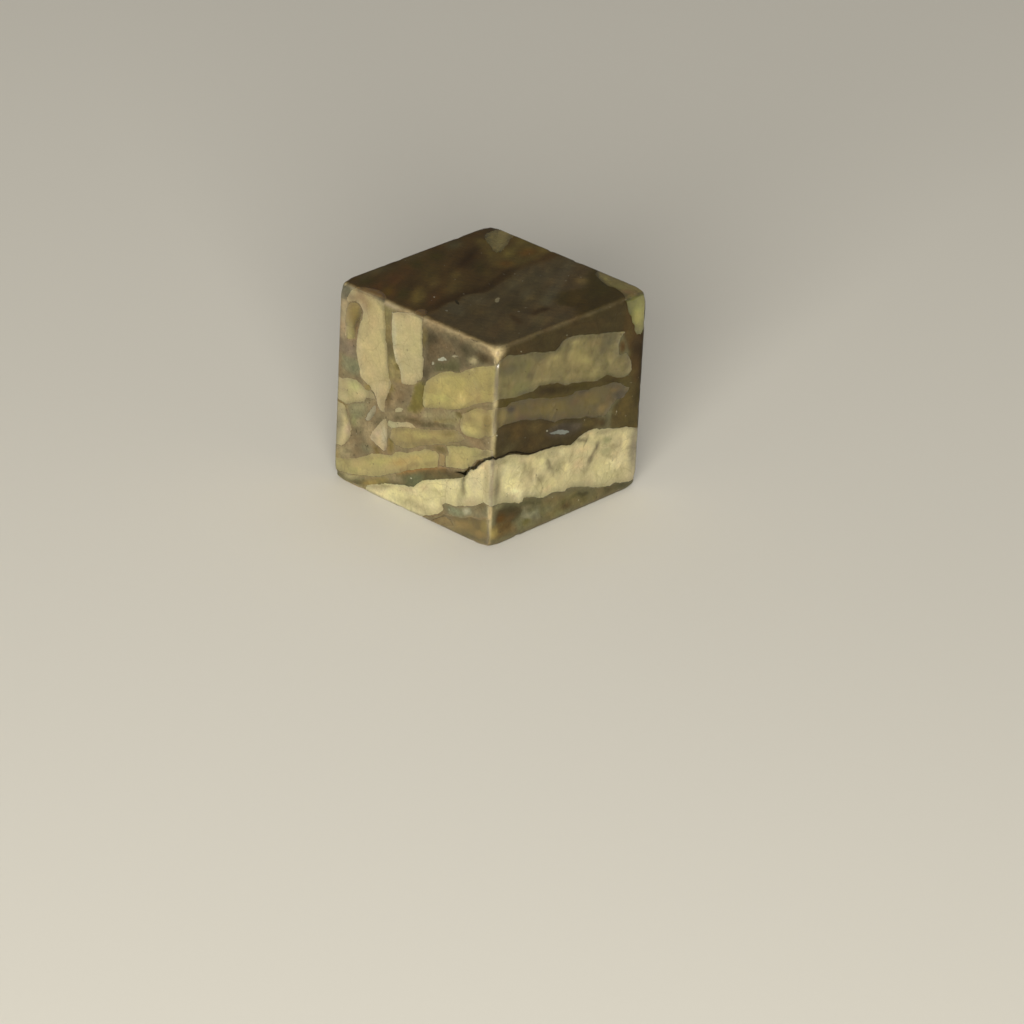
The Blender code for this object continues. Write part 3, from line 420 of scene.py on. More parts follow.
LEFT = [
    ("metal_l", "metal", "vein", [(-13, -1), (13, -1), (13, 26), (-13, 26)]),
    ("l_slate", "metal", "slate", [(2.8, 25.6), (1.9, 23.0), (1.6, 19.4), (2.9, 15.8), (1.8, 14.2), (-2.0, 16.8), (-7.4, 16.5), (-13, 17.0), (-13, 17.9), (-9.6, 17.4), (-5.8, 18.3), (-2.2, 17.6), (0.8, 19.2), (1.6, 22.4), (1.2, 24.6), (0.8, 26.0)]),
    ("l_dark", "oxide", "bark", [(-13, 12.0), (-9.4, 12.2), (-5.2, 11.0), (-1.6, 11.6), (1.6, 12.1), (4.4, 12.6), (3.6, 11.8), (0.6, 10.7), (-3.2, 10.0), (-7.2, 10.9), (-10.8, 10.5), (-13, 11.0)]),
    ("l_low_dark", "oxide", "moss_dark", [(-13, 4.9), (-9.8, 4.5), (-6.6, 5.7), (-2.4, 5.5), (1.4, 6.3), (4.4, 7.6), (5.6, 4.9), (1.8, 3.9), (-3.4, 5.0), (-5.0, 3.6), (-9.0, 3.9), (-13, 3.2)]),
    ("l_plate_two", "honey", "gold", [(12.0, 24.0), (10.9, 23.8), (9.9, 21.6), (10.4, 19.2), (11.3, 18.5), (12.1, 19.2), (12.2, 21.8)]),
    ("l_plate_one", "pale", "plate", [(2.6, 26.0), (8.0, 26.0), (8.4, 22.6), (8.5, 20.6), (9.2, 17.6), (8.6, 15.6), (8.0, 14.3), (6.2, 13.6), (4.6, 13.3), (3.6, 14.4), (2.9, 15.6), (2.5, 18.0), (2.2, 20.2), (2.5, 23.0)]),
    ("patch_g", "pale", "straw", [(13, 13.1), (11.6, 13.7), (10.5, 13.5), (9.3, 12.6), (9.8, 10.9), (11.4, 10.1), (13, 10.3)]),
    ("lower_h", "pale", "cream_warm", [(13, 9.9), (11.2, 9.4), (9.8, 8.7), (8.8, 8.2), (7.4, 8.8), (6.2, 8.9), (5.2, 7.8), (5.6, 6.4), (7.4, 4.9), (9.0, 4.6), (10.4, 4.3), (13, 4.3)]),
    ("bar", "honey", "straw", [(13, 2.4), (11.0, 3.1), (9.4, 3.3), (7.0, 2.9), (4.6, 2.6), (2.4, 3.2), (0.5, 3.9), (-1.8, 4.6), (-3.6, 5.2), (-4.2, 3.9), (-2.6, 3.0), (-0.4, 2.2), (2.0, 1.5), (4.4, 1.0), (7.0, 0.9), (9.5, 1.1), (13, 1.0)]),
    ("l_band", "honey", "olive_pale", [(1.4, 23.8), (0.2, 24.5), (-1.2, 24.5), (-3.0, 23.8), (-4.5, 23.4), (-6.6, 23.9), (-8.8, 23.8), (-11.0, 23.2), (-13, 22.6), (-13, 18.2), (-11.2, 17.8), (-9.6, 17.7), (-7.6, 18.3), (-5.8, 18.6), (-3.8, 18.1), (-2.2, 17.9), (-0.6, 18.6), (0.8, 19.6), (1.3, 21.8)]),
    ("l_mid", "honey", "honey", [(2.0, 14.2), (1.0, 15.6), (-0.8, 16.3), (-3.4, 16.2), (-7.4, 15.9), (-10.2, 16.3), (-13, 15.4), (-13, 12.4), (-11.2, 12.7), (-9.4, 12.6), (-7.2, 11.8), (-5.2, 11.4), (-3.2, 11.7), (-1.6, 12.0), (1.2, 12.5)]),
    ("l_cream", "pale", "cream", [(3.4, 11.4), (2.0, 10.9), (0.6, 10.3), (-1.4, 9.9), (-3.2, 9.7), (-5.2, 10.3), (-7.2, 10.6), (-9.2, 10.1), (-10.8, 10.2), (-13, 10.7), (-13, 5.2), (-11.4, 5.1), (-9.8, 4.8), (-8.2, 5.6), (-6.6, 6.0), (-4.4, 5.7), (-2.4, 5.8), (-0.4, 6.4), (1.4, 6.6), (3.2, 7.3), (4.2, 8.4), (4.4, 10.0)]),
    ("l_foot", "smoke", "orange", [(-5.0, 3.2), (-7.0, 3.5), (-9.0, 3.5), (-11.0, 3.0), (-13, 2.9), (-13, -0.4), (-2.6, -0.4), (-2.8, 1.6), (-3.8, 2.6)]),
    ("l_bit_one", "olive", "olive_green", [(9.2, 24.8), (11.0, 24.9), (11.6, 26.0), (9.0, 26.0)]),
    ("l_bit_two", "honey", "tan", [(10.2, 17.2), (11.6, 17.4), (12.0, 15.6), (10.9, 14.6), (9.9, 15.6)]),
    ("l_speck", "oxide", "umber", vein([(8.6, 22.2, 0.06), (8.8, 20.6, 0.3), (9.4, 18.6, 0.22), (9.2, 16.2, 0.05)])),
    ("l_crack", "crack", "black", vein([(3.6, 11.65, 0.05), (2.0, 11.1, 0.16), (0.6, 10.55, 0.24), (-1.2, 10.1, 0.18), (-3.2, 9.92, 0.22), (-5.0, 10.45, 0.12), (-6.4, 10.75, 0.04)])),
]

BACK = [
    ("metal_b", "oxide", "umber", [(-13, -1), (13, -1), (13, 26), (-13, 26)]),
    ("b_slate", "metal", "slate", [(-2.2, 26), (-0.8, 23.0), (-0.2, 19.6), (-1.0, 15.4), (-3.6, 12.6), (-1.6, 11.6), (0.4, 12.2), (2.0, 13.8), (0.2, 17.4), (0.0, 21.6), (0.8, 24.6), (0.6, 26)]),
    ("b_vein", "metal", "vein", [(6.6, 26), (6.9, 22.6), (6.4, 18.4), (5.2, 15.0), (6.6, 12.6), (13, 11.2), (13, 12.2), (9.6, 11.8), (7.0, 13.2), (7.4, 15.4), (10.2, 16.3), (13, 15.8), (13, 17.9), (10.4, 17.5), (8.1, 19.0), (7.7, 21.4), (9.8, 23.3), (13, 23.0), (13, 26)]),
    ("b_column", "oxide", "bark_red", [(-13, 20.8), (-11.4, 20.0), (-10.0, 17.4), (-10.3, 14.4), (-8.0, 12.2), (-8.6, 8.2), (-13, 7.8)]),
    ("corner", "olive", "olive_green", [(-13, 26.0), (-13, 20.8), (-12.2, 20.3), (-11.4, 20.2), (-10.2, 20.8), (-9.4, 21.6), (-8.0, 22.9), (-6.6, 23.9), (-5.4, 24.7), (-4.6, 26.0)]),
    ("b_plate_one", "pale", "plate", [(-8.8, 19.8), (-7.4, 20.9), (-5.6, 21.6), (-3.8, 22.2), (-2.0, 22.4), (-1.2, 21.2), (-0.6, 19.6), (-0.8, 17.8), (-1.4, 15.8), (-2.8, 14.2), (-4.2, 13.2), (-6.2, 12.7), (-8.0, 12.6), (-9.2, 13.4), (-9.9, 14.6), (-9.8, 17.4)]),
    ("b_plate_two", "honey", "straw", [(1.2, 24.2), (3.0, 24.9), (4.6, 24.8), (5.8, 23.8), (6.4, 22.6), (6.3, 20.4), (6.0, 18.4), (5.4, 16.6), (4.6, 15.2), (3.4, 14.6), (2.2, 14.6), (1.2, 15.8), (0.6, 17.4), (0.4, 21.6)]),
    ("l_band", "honey", "olive_pale", [(13, 22.6), (11.4, 23.1), (9.8, 23.0), (8.8, 22.4), (8.0, 21.4), (8.0, 20.2), (8.4, 19.0), (9.4, 18.2), (10.4, 17.8), (13, 18.2)]),
    ("l_mid", "honey", "honey", [(13, 15.4), (11.6, 16.0), (10.2, 16.0), (8.8, 15.8), (7.6, 15.2), (7.2, 14.2), (7.4, 13.2), (8.4, 12.4), (9.6, 12.1), (13, 12.4)]),
    ("l_cream", "pale", "cream", [(13, 10.7), (11.2, 10.4), (9.4, 10.6), (7.6, 11.3), (5.6, 11.8), (3.6, 11.7), (1.8, 11.2), (0.6, 10.2), (0.4, 9.0), (1.4, 7.8), (2.6, 7.0), (4.6, 6.6), (6.8, 6.2), (8.4, 5.5), (10.2, 5.0), (13, 5.2)]),
    ("cream", "pale", "cream", [(-13, 7.5), (-11.8, 7.9), (-10.6, 7.9), (-9.0, 7.2), (-7.4, 6.9), (-5.8, 7.5), (-4.2, 7.6), (-2.8, 7.0), (-1.8, 6.2), (-1.2, 5.0), (-1.3, 3.8), (-2.2, 2.7), (-3.4, 1.9), (-6.0, 1.5), (-9.5, 1.0), (-13, 0.75)]),
    ("b_low", "smoke", "orange", [(-0.2, 5.0), (1.6, 5.2), (3.4, 4.5), (5.6, 4.2), (7.8, 3.6), (9.2, 2.8), (9.6, 2.0), (9.0, 1.0), (8.0, 0.5), (5.4, 0.4), (3.0, 0.7), (1.4, 1.4), (0.2, 2.4)]),
    ("l_foot", "smoke", "orange", [(13, 2.9), (11.6, 2.6), (10.8, 1.4), (11.4, -0.4), (13, -0.4)]),
    ("b_olive", "olive", "olive_deep", [(-7.4, 11.4), (-5.0, 11.9), (-2.6, 10.9), (-1.4, 9.4), (-2.6, 8.2), (-5.0, 8.6), (-7.2, 8.4), (-8.2, 9.8)]),
    ("t_olive", "olive", "olive", [(8.1, 26.0), (8.4, 24.6), (9.4, 24.0), (10.5, 24.4), (10.9, 26.0)]),
    ("b_crack", "crack", "black", vein([(-9.6, 7.75, 0.05), (-8.2, 7.25, 0.2), (-7.2, 7.1, 0.22), (-6.0, 7.6, 0.2), (-4.4, 7.85, 0.2), (-3.0, 7.3, 0.16), (-2.0, 6.6, 0.05)])),
]

UNDER = [
    ("metal_u", "metal", "vein", [(-13, -13), (13, -13), (13, 13), (-13, 13)]),
    ("u_dark", "oxide", "umber", [(3.4, 13.6), (3.0, 9.4), (0.8, 6.6), (2.6, 1.8), (1.0, -3.6), (4.2, -8.0), (3.2, -13.6), (13.6, -13.6), (13.6, 13.6)]),
    ("cream", "pale", "cream", [(-7.4, 13.6), (-7.2, 11.4), (-6.4, 9.6), (-5.0, 8.2), (-3.4, 7.4), (-1.4, 7.2), (0.4, 8.2), (1.8, 9.6), (2.2, 11.2), (1.4, 13.6)]),
    ("f_foot", "smoke", "orange", [(1.6, 13.6), (2.4, 11.4), (3.2, 10.2), (5.6, 10.4), (8.2, 9.6), (10.8, 10.8), (13.6, 10.2), (13.6, 13.6)]),
    ("u_one", "honey", "straw", [(-11.0, 6.0), (-8.4, 7.2), (-6.0, 5.4), (-3.0, 5.2), (-1.6, 2.6), (-3.2, -1.2), (-6.4, -2.4), (-9.4, -0.8), (-11.2, 2.4)]),
    ("u_two", "pale", "plate", [(-10.6, -3.2), (-7.0, -4.4), (-3.4, -3.6), (-1.2, -5.8), (-2.0, -9.4), (-5.6, -11.0), (-9.4, -10.2), (-11.4, -7.0)]),
    ("u_three", "honey", "honey", [(4.2, 7.6), (8.0, 7.8), (10.8, 6.0), (11.2, 2.0), (8.4, -0.6), (5.0, 0.4), (3.4, 3.6)]),
    ("u_four", "olive", "olive", [(3.4, -2.4), (6.6, -2.6), (9.6, -3.6), (11.4, -7.0), (9.8, -10.6), (6.0, -11.2), (5.4, -8.0), (2.8, -5.2)]),
]

# On the pale crystals the white cream stains are painted highlights, and the crease stains are painted shade: in the
# creases, at the bottom of the front's pale band and beside the near upright edge.
# Soft stains and shadings inside a crystal or a vein: (face, across, up, half width, half height, turn, colour, weight, region)
STAINS = [
    ("side", -7.2, 8.6, 0.30, 1.6, 20, "crease_tan", 0.8, "cream"),
    ("side", -2.6, 7.0, 0.28, 1.5, 28, "crease_brown", 0.8, "cream"),
    ("side", 1.0, 7.3, 0.26, 1.3, -18, "crease_tan", 0.8, "cream"),
    ("side", 4.9, 6.6, 0.28, 1.4, -35, "crease_brown", 0.8, "cream"),
    ("side", -5.3, 6.3, 0.9, 1.0, 0, "cream_white", 0.55, "cream"),
    ("side", -9.6, 8.9, 1.1, 0.8, -15, "cream_white", 0.5, "cream"),
    ("side", 9.2, 4.0, 1.6, 1.0, -15, "cream_white", 0.5, "cream"),
    ("side", 7.6, 9.7, 1.6, 0.5, -8, "cream_white", 0.45, "cream"),
    ("front", 8.25, 6.4, 0.30, 1.5, 4, "crease_brown", 1.0, "cream"),
    ("front", 7.7, 5.2, 0.5, 1.6, 0, "crease_tan", 0.6, "cream"),
    ("front", 4.2, 5.9, 1.9, 0.3, 30, "cream_white", 0.8, "cream"),
    ("front", 0.4, 1.0, 3.4, 0.35, 3, "crease_tan", 0.5, "cream"),
    ("front", -0.5, 2.6, 2.6, 0.5, 10, "cream_white", 0.5, "cream"),
    ("front", 10.4, 7.6, 1.1, 1.3, 30, "cream_white", 0.6, "cream"),
    ("side", 12.2, 17.6, 0.8, 4.6, 0, "top_pit", 0.8, "s_brown_column"),
    ("side", 11.0, 18.2, 1.0, 1.2, -30, "top_pit", 0.6, "s_brown_column"),
    ("side", -3.4, 17.25, 2.6, 0.42, -16, "core_dark", 1.0, "s_dark_band"),
    ("side", 1.2, 16.2, 2.4, 0.28, -14, "core_dark", 0.95, "s_dark_band"),
    ("side", -7.6, 18.05, 1.8, 0.22, -4, "umber", 0.7, "s_dark_band"),
    ("side", 3.4, 16.35, 1.2, 0.22, -14, "umber", 0.6, "s_dark_band"),
    ("side", 7.0, 15.2, 1.8, 0.3, -18, "core_dark", 0.85, "s_dark_band"),
    ("side", -10.2, 22.2, 1.9, 0.9, -8, "olive_deep", 0.5, "band_c"),
    ("side", 0.6, 19.6, 2.6, 0.9, -16, "sand", 0.5, "band_c"),
    ("side", -4.4, 18.9, 1.8, 0.35, -12, "sand_bright", 0.6, "band_c"),
    ("side", 5.5, 20.6, 0.9, 1.3, 15, "olive", 0.7, "band_c"),
    ("side", 3.2, 18.2, 0.9, 0.4, -40, "olive", 0.6, "band_c"),
    ("side", 8.9, 17.6, 0.8, 0.6, 0, "olive", 0.6, "band_c"),
    ("side", 6.4, 14.0, 2.4, 0.9, -18, "leaf_deep", 0.6, "band_d"),
    ("side", 8.8, 13.2, 1.4, 0.9, -20, "olive_shadow", 0.6, "band_d"),
    ("side", -11.6, 23.0, 0.6, 0.8, 0, "sand_pink", 0.6, "band_c"),
    ("side", -10.6, 22.3, 1.0, 0.7, 0, "olive_deep", 0.45, "band_c"),
    ("side", -8.2, 22.1, 1.1, 0.5, -10, "leaf", 0.9, "band_c"),
    ("side", -7.4, 21.3, 0.5, 1.0, -15, "leaf_bright", 0.9, "band_c"),
    ("side", -9.2, 20.9, 1.3, 0.6, 0, "leaf", 0.6, "band_c"),
    ("side", -10.2, 19.7, 0.6, 0.5, 0, "sand_pink", 0.8, "band_c"),
    ("side", -9.2, 19.2, 1.6, 0.7, 0, "sage", 0.8, "band_c"),
    ("side", -7.6, 19.2, 0.8, 0.7, 0, "sage", 0.7, "band_c"),
    ("side", -6.8, 20.4, 0.7, 0.9, -35, "leaf_deep", 0.6, "band_c"),
    ("side", -5.3, 20.8, 1.2, 0.7, -10, "sand", 0.8, "band_c"),
    ("side", -5.6, 22.0, 1.0, 0.4, -12, "sage_dark", 0.7, "band_c"),
    ("side", -3.9, 20.9, 0.45, 0.45, 0, "glow", 0.45, "band_c"),
    ("side", -3.1, 21.2, 1.3, 0.6, -5, "sand_bright", 0.6, "band_c"),
    ("side", -1.0, 20.8, 0.5, 1.1, 0, "leaf_deep", 0.5, "band_c"),
    ("side", 0.4, 20.9, 0.9, 0.8, 0, "sand_bright", 0.45, "band_c"),
    ("side", -3.4, 19.8, 1.8, 0.8, -12, "sand", 0.6, "band_c"),
    ("side", 0.7, 22.1, 0.8, 0.3, -10, "sand_bright", 0.8, "band_c"),
    ("side", 1.1, 20.0, 1.9, 0.8, -15, "sand_bright", 0.45, "band_c"),
    ("side", 2.8, 19.0, 1.0, 0.7, -40, "sand_bright", 0.55, "band_c"),
    ("side", 3.8, 21.1, 1.2, 0.4, -12, "sand_pink", 0.5, "band_c"),
    ("side", 5.4, 19.9, 0.6, 0.9, 10, "leaf_deep", 0.55, "band_c"),
    ("side", 4.3, 17.4, 1.1, 0.9, 20, "sand_bright", 0.55, "band_c"),
    ("side", 6.8, 20.4, 0.9, 0.6, 0, "sage_dark", 0.6, "band_c"),
    ("side", 6.9, 17.9, 0.35, 0.7, 10, "sand_bright", 0.8, "band_c"),
    ("side", 7.6, 17.0, 0.9, 0.8, 0, "sand", 0.7, "band_c"),
    ("side", 8.3, 15.7, 0.9, 0.4, -15, "sand", 0.7, "band_c"),
    ("side", 9.7, 16.6, 0.5, 0.9, 0, "fawn", 0.4, "band_c"),
    ("side", 0.6, 17.9, 1.6, 0.4, -14, "sand", 0.7, "band_c"),
    ("side", -8.0, 18.35, 1.6, 0.25, 0, "sage_dark", 0.7, "band_c"),
    ("side", -11.3, 16.5, 0.8, 0.9, 0, "olive", 0.7, "band_d"),
    ("side", -9.9, 16.9, 0.8, 0.4, -30, "bark_brown", 0.9, "band_d"),
    ("side", -9.0, 16.2, 0.5, 0.8, 0, "fawn", 0.8, "band_d"),
    ("side", -8.0, 15.3, 1.2, 0.4, -15, "ochre_red", 0.85, "band_d"),
    ("side", -6.0, 16.3, 1.4, 0.3, -12, "fawn", 0.7, "band_d"),
    ("side", -5.0, 15.2, 1.2, 0.5, -15, "ochre", 0.7, "band_d"),
    ("side", -2.8, 14.9, 1.2, 0.7, -30, "ochre", 0.8, "band_d"),
    ("side", -2.2, 15.8, 1.2, 0.25, -12, "fawn", 0.5, "band_d"),
    ("side", -0.8, 14.3, 1.4, 0.7, -15, "ochre", 0.8, "band_d"),
    ("side", -1.2, 13.3, 0.9, 0.25, -5, "fawn", 0.8, "band_d"),
    ("side", 1.0, 14.4, 0.9, 0.5, 0, "ochre_red", 0.7, "band_d"),
    ("side", 2.2, 15.2, 0.7, 0.3, 0, "bark_brown", 0.7, "band_d"),
    ("side", 3.4, 14.7, 1.2, 0.3, -15, "fawn", 0.8, "band_d"),
    ("side", 4.3, 13.6, 1.4, 0.7, -20, "ochre", 0.9, "band_d"),
    ("side", 1.8, 13.2, 1.4, 0.5, -15, "leaf_deep", 0.8, "band_d"),
    ("side", 5.7, 12.0, 0.9, 0.5, -10, "sand_pink", 0.35, "band_d"),
    ("side", 7.0, 12.9, 0.5, 0.8, 0, "ochre_red", 0.6, "band_d"),
    ("side", 8.0, 13.9, 0.9, 0.35, -12, "fawn", 0.8, "band_d"),
    ("side", 8.8, 12.9, 0.9, 0.5, 0, "bark_brown", 0.6, "band_d"),
    ("side", 11.0, 16.2, 0.8, 0.6, 0, "bark_red", 0.8, "s_brown_column"),
    ("side", 9.6, 17.9, 0.8, 0.5, -20, "umber", 0.7, "s_brown_column"),
    ("side", 11.2, 19.0, 1.0, 0.6, -20, "purple_brown", 0.8, "s_brown_column"),
    ("side", 10.5, 15.2, 0.8, 0.6, 0, "umber", 0.6, "s_brown_column"),
    ("side", 9.6, 20.4, 0.6, 0.9, 15, "umber", 0.6, "s_brown_column"),
    ("side", 12.1, 13.6, 0.5, 1.6, 0, "top_pit", 0.7, "s_brown_column"),
    ("side", 8.5, 19.3, 0.4, 0.8, 10, "russet", 0.7, "s_c_spot"),
    ("side", 9.6, 12.4, 0.8, 0.9, 20, "rust_dim", 0.6, "s_low_column"),
    ("side", 9.4, 11.0, 1.0, 1.2, -30, "rust_dim", 0.6, "s_low_column"),
    ("side", 7.6, 11.0, 0.8, 0.8, 0, "umber", 0.6, "s_low_column"),
    ("side", 11.7, 12.0, 0.7, 1.6, 0, "foot_dark", 0.8, "s_low_column"),
    ("side", 8.2, 9.9, 1.2, 0.4, -14, "umber", 0.6, "s_low_column"),
    ("side", -10.6, 17.95, 0.9, 0.3, -8, "olive_shadow", 0.9, "s_dark_band"),
    ("side", -5.0, 17.5, 1.0, 0.4, -10, "purple_brown", 0.9, "s_dark_band"),
    ("side", -2.2, 16.9, 1.6, 0.4, -12, "foot_dark", 0.8, "s_dark_band"),
    ("side", 1.6, 16.3, 1.4, 0.3, -12, "olive_shadow", 0.8, "s_dark_band"),
    ("side", 5.8, 15.4, 1.0, 0.3, -5, "foot_dark", 0.6, "s_dark_band"),
    ("side", -8.0, 17.6, 1.0, 0.25, -5, "umber", 0.6, "s_dark_band"),
    ("side", -11.3, 14.0, 0.7, 1.1, 0, "purple_brown", 0.8, "s_low_dark"),
    ("side", -9.0, 14.3, 1.6, 0.4, -12, "bark_red", 0.6, "s_low_dark"),
    ("side", -8.6, 13.2, 1.2, 0.5, -15, "bark_red", 0.8, "s_low_dark"),
    ("side", -5.6, 13.3, 1.2, 0.5, -15, "umber", 0.5, "s_low_dark"),
    ("side", 3.4, 11.0, 1.6, 0.5, -15, "umber", 0.8, "s_low_dark"),
    ("side", -2.0, 12.6, 1.2, 0.3, -10, "umber", 0.6, "s_low_dark"),
    ("side", -9.9, 12.0, 1.2, 0.5, 0, "slate_dark", 0.5, "s_low_dark"),
    ("side", -10.8, 3.3, 0.9, 0.7, 0, "russet", 0.9, "s_low_brown"),
    ("side", -11.3, 5.1, 0.9, 0.3, 0, "foot_olive", 0.8, "s_low_brown"),
    ("side", -8.7, 4.1, 0.8, 0.5, -10, "foot_dark", 0.8, "s_low_brown"),
    ("side", -9.0, 3.0, 0.8, 0.5, 0, "foot_red", 0.6, "s_low_brown"),
    ("side", -5.7, 2.9, 1.2, 0.4, -15, "foot_pale", 1.0, "s_low_green"),
    ("side", -4.9, 1.8, 0.6, 0.4, 0, "foot_olive", 0.7, "s_low_green"),
    ("side", -6.4, 1.6, 0.8, 0.4, -10, "ochre", 0.7, "s_low_olive"),
    ("side", -2.9, 3.35, 0.9, 0.3, -15, "low_pink", 0.9, "s_low_tan"),
    ("side", -1.0, 3.1, 1.0, 0.3, -10, "low_pink", 0.7, "s_low_tan"),
    ("side", -2.6, 2.0, 1.4, 0.5, -10, "foot_olive", 0.8, "s_low_tan"),
    ("side", 0.4, 1.4, 1.0, 0.4, 0, "foot_red", 0.8, "s_low_tan"),
    ("side", 1.6, 2.85, 0.9, 0.25, -15, "ochre", 0.6, "s_low_tan"),
    ("side", 3.2, 2.1, 1.4, 0.3, -12, "foot_dark", 0.85, "s_low_tan"),
    ("side", 4.8, 1.4, 0.8, 0.3, -12, "foot_grey", 0.7, "s_low_tan"),
    ("side", -0.9, 1.0, 0.7, 0.3, 0, "foot_pale", 0.8, "s_low_tan"),
    ("front", -9.8, 12.7, 1.2, 0.6, 20, "g_yellow", 0.8, "patch_g"),
    ("front", -9.4, 11.4, 1.3, 0.4, 18, "straw_warm", 0.3, "patch_g"),
    ("front", -9.0, 11.7, 1.3, 0.35, 18, "cream_warm", 0.7, "patch_g"),
    ("front", -11.6, 11.8, 0.5, 1.2, 0, "straw_warm", 0.8, "patch_g"),
    ("front", -7.2, 12.5, 0.8, 0.4, 0, "straw", 0.8, "patch_g"),
    ("front", -10.6, 10.6, 0.7, 0.3, 15, "cream_warm", 0.6, "patch_g"),
    ("front", -11.1, 8.8, 0.6, 0.7, 0, "straw_warm", 0.7, "lower_h"),
    ("front", -10.6, 6.9, 0.5, 1.0, -15, "mauve", 0.9, "lower_h"),
    ("front", -10.9, 5.6, 0.5, 0.6, 0, "cream_warm", 0.8, "lower_h"),
    ("front", -12.0, 7.0, 0.5, 2.4, 0, "olive_pale", 0.7, "lower_h"),
    ("front", -10.0, 7.8, 0.3, 0.7, 0, "g_yellow", 0.7, "lower_h"),
    ("front", -5.7, 8.1, 0.5, 0.9, -50, "mauve", 0.9, "patch_j"),
    ("front", -4.6, 8.0, 0.5, 1.3, 0, "milk", 0.8, "patch_j"),
    ("front", -4.35, 10.0, 0.5, 0.5, 0, "straw", 0.8, "patch_j"),
    ("front", -4.3, 6.6, 0.4, 0.4, 0, "vein_pale", 0.7, "patch_j"),
    ("front", -6.3, 7.3, 0.4, 0.4, 0, "vein_pale", 0.6, "patch_j"),
    ("front", -10.9, 2.2, 0.8, 0.9, 0, "straw_warm", 0.8, "bar"),
    ("front", -9.2, 1.9, 1.2, 0.35, 18, "g_yellow", 0.6, "bar"),
    ("front", -6.6, 4.5, 2.0, 0.3, 27, "straw_warm", 0.7, "bar"),
    ("front", -4.8, 4.7, 2.4, 0.45, 27, "g_yellow", 0.7, "bar"),
    ("front", -2.0, 5.6, 1.4, 0.5, 28, "honey_red", 0.9, "bar"),
    ("front", -1.3, 5.0, 0.9, 0.22, 30, "ember", 0.8, "bar"),
    ("front", -2.6, 6.4, 0.9, 0.3, 20, "straw", 0.7, "bar"),
    ("front", 0.4, 6.2, 1.2, 0.3, 26, "ember", 0.6, "bar"),
    ("front", 0.4, 7.0, 1.6, 0.4, 26, "honey_red", 0.5, "bar"),
    ("front", 2.4, 8.0, 1.2, 0.5, 22, "straw", 0.8, "bar"),
    ("front", 2.6, 7.2, 1.2, 0.3, 22, "honey", 0.8, "bar"),
    ("front", 3.8, 8.6, 0.4, 0.7, 0, "plate", 0.7, "bar"),
    ("front", -7.6, 3.1, 1.6, 0.3, 22, "plate", 0.5, "bar"),
    ("front", 7.0, 2.9, 1.2, 0.5, 10, "moss_green", 0.85, "f_low_moss2"),
    # a painted glint
    ("front", 8.9, 3.55, 0.55, 0.3, 20, "speck", 0.9, "f_low_moss2"),
    ("front", 10.4, 4.15, 0.9, 0.4, 20, "vein", 0.7, "f_low_moss2"),
    ("front", 11.3, 5.2, 0.6, 0.35, 20, "gold_dark", 0.8, "f_low_moss2"),
    ("front", 5.9, 2.9, 0.5, 0.4, 0, "vein_dark", 0.6, "f_low_moss2"),
    ("front", 10.6, 2.9, 0.9, 0.4, 20, "rust", 1.0, "f_foot"),
    ("front", 8.3, 2.4, 1.0, 0.3, 10, "gold_mid", 0.8, "f_foot"),
    ("front", 8.6, 1.4, 1.4, 0.4, 10, "foot_orange", 0.7, "f_foot"),
    ("front", 11.2, 1.2, 1.1, 0.4, 10, "foot_orange", 0.9, "f_foot"),
    ("front", 6.4, 0.9, 0.9, 0.3, 15, "honey", 0.7, "f_foot"),
    ("front", 11.9, 2.4, 0.5, 0.9, 0, "tan", 0.7, "f_foot"),
    ("front", 9.6, 0.5, 1.6, 0.25, 8, "slate", 0.7, "f_foot"),
    ("front", 12.2, 0.6, 0.8, 0.5, 0, "slate", 0.8, "f_foot"),
    ("front", -4.15, 13.3, 0.35, 0.9, 0, "gold_dark", 0.85, "metal_f"),
    ("front", -3.7, 14.6, 0.5, 0.6, 0, "gold", 0.7, "metal_f"),
    ("front", -9.4, 8.5, 0.5, 0.8, 0, "sage", 0.7, "metal_f"),
    ("front", -8.7, 8.2, 0.35, 0.6, 0, "vein_pale", 0.6, "metal_f"),
    ("front", -6.8, 7.0, 0.9, 0.4, 20, "vein_pale", 0.6, "metal_f"),
    ("front", -10.9, 3.7, 1.1, 0.5, 10, "vein_pale", 0.6, "metal_f"),
    ("front", -9.8, 5.0, 0.9, 0.4, 30, "vein_pale", 0.5, "metal_f"),
    ("front", -5.5, 9.6, 0.9, 0.35, 50, "vein_dark", 0.6, "metal_f"),
    ("front", -9.0, 0.7, 1.6, 0.35, 12, "slate_dark", 0.8, "f_left_foot"),
    ("front", -11.4, 0.7, 0.8, 0.4, 0, "slate_dark", 0.8, "f_left_foot"),
    ("front", -10.6, 19.0, 0.6, 0.7, 0, "olive_yellow", 0.8, "plate_a0"),
    ("front", -3.7, 21.2, 0.3, 2.4, 3, "milk", 0.8, "plate_b"),
    ("front", -3.3, 18.9, 0.3, 0.7, 20, "milk", 0.7, "plate_b"),
    ("front", -1.2, 22.6, 0.9, 0.9, 0, "straw", 0.35, "plate_b"),
    ("front", 7.4, 17.1, 0.8, 0.7, 30, "cream_warm", 0.6, "band_c"),
    ("front", 4.0, 16.1, 1.6, 0.35, 15, "g_yellow", 0.6, "band_c"),
    ("front", 8.9, 18.6, 1.0, 1.2, 0, "straw_warm", 0.6, "band_c"),
    ("front", 10.0, 18.2, 0.3, 0.9, 0, "honey", 0.8, "band_c"),
    ("front", 11.0, 18.6, 0.5, 0.9, 0, "g_yellow", 0.6, "band_c"),
    ("front", 8.8, 13.5, 1.0, 0.4, 5, "g_yellow", 0.8, "band_d"),
    ("front", 11.2, 14.6, 0.7, 0.6, 0, "honey", 0.6, "band_d"),
    ("top", -8.4, 9.9, 2.6, 0.55, -52, "top_bright", 0.8, "t_olive"),
    ("top", -9.7, 11.6, 0.7, 0.7, 0, "top_bright", 0.8, "t_olive"),
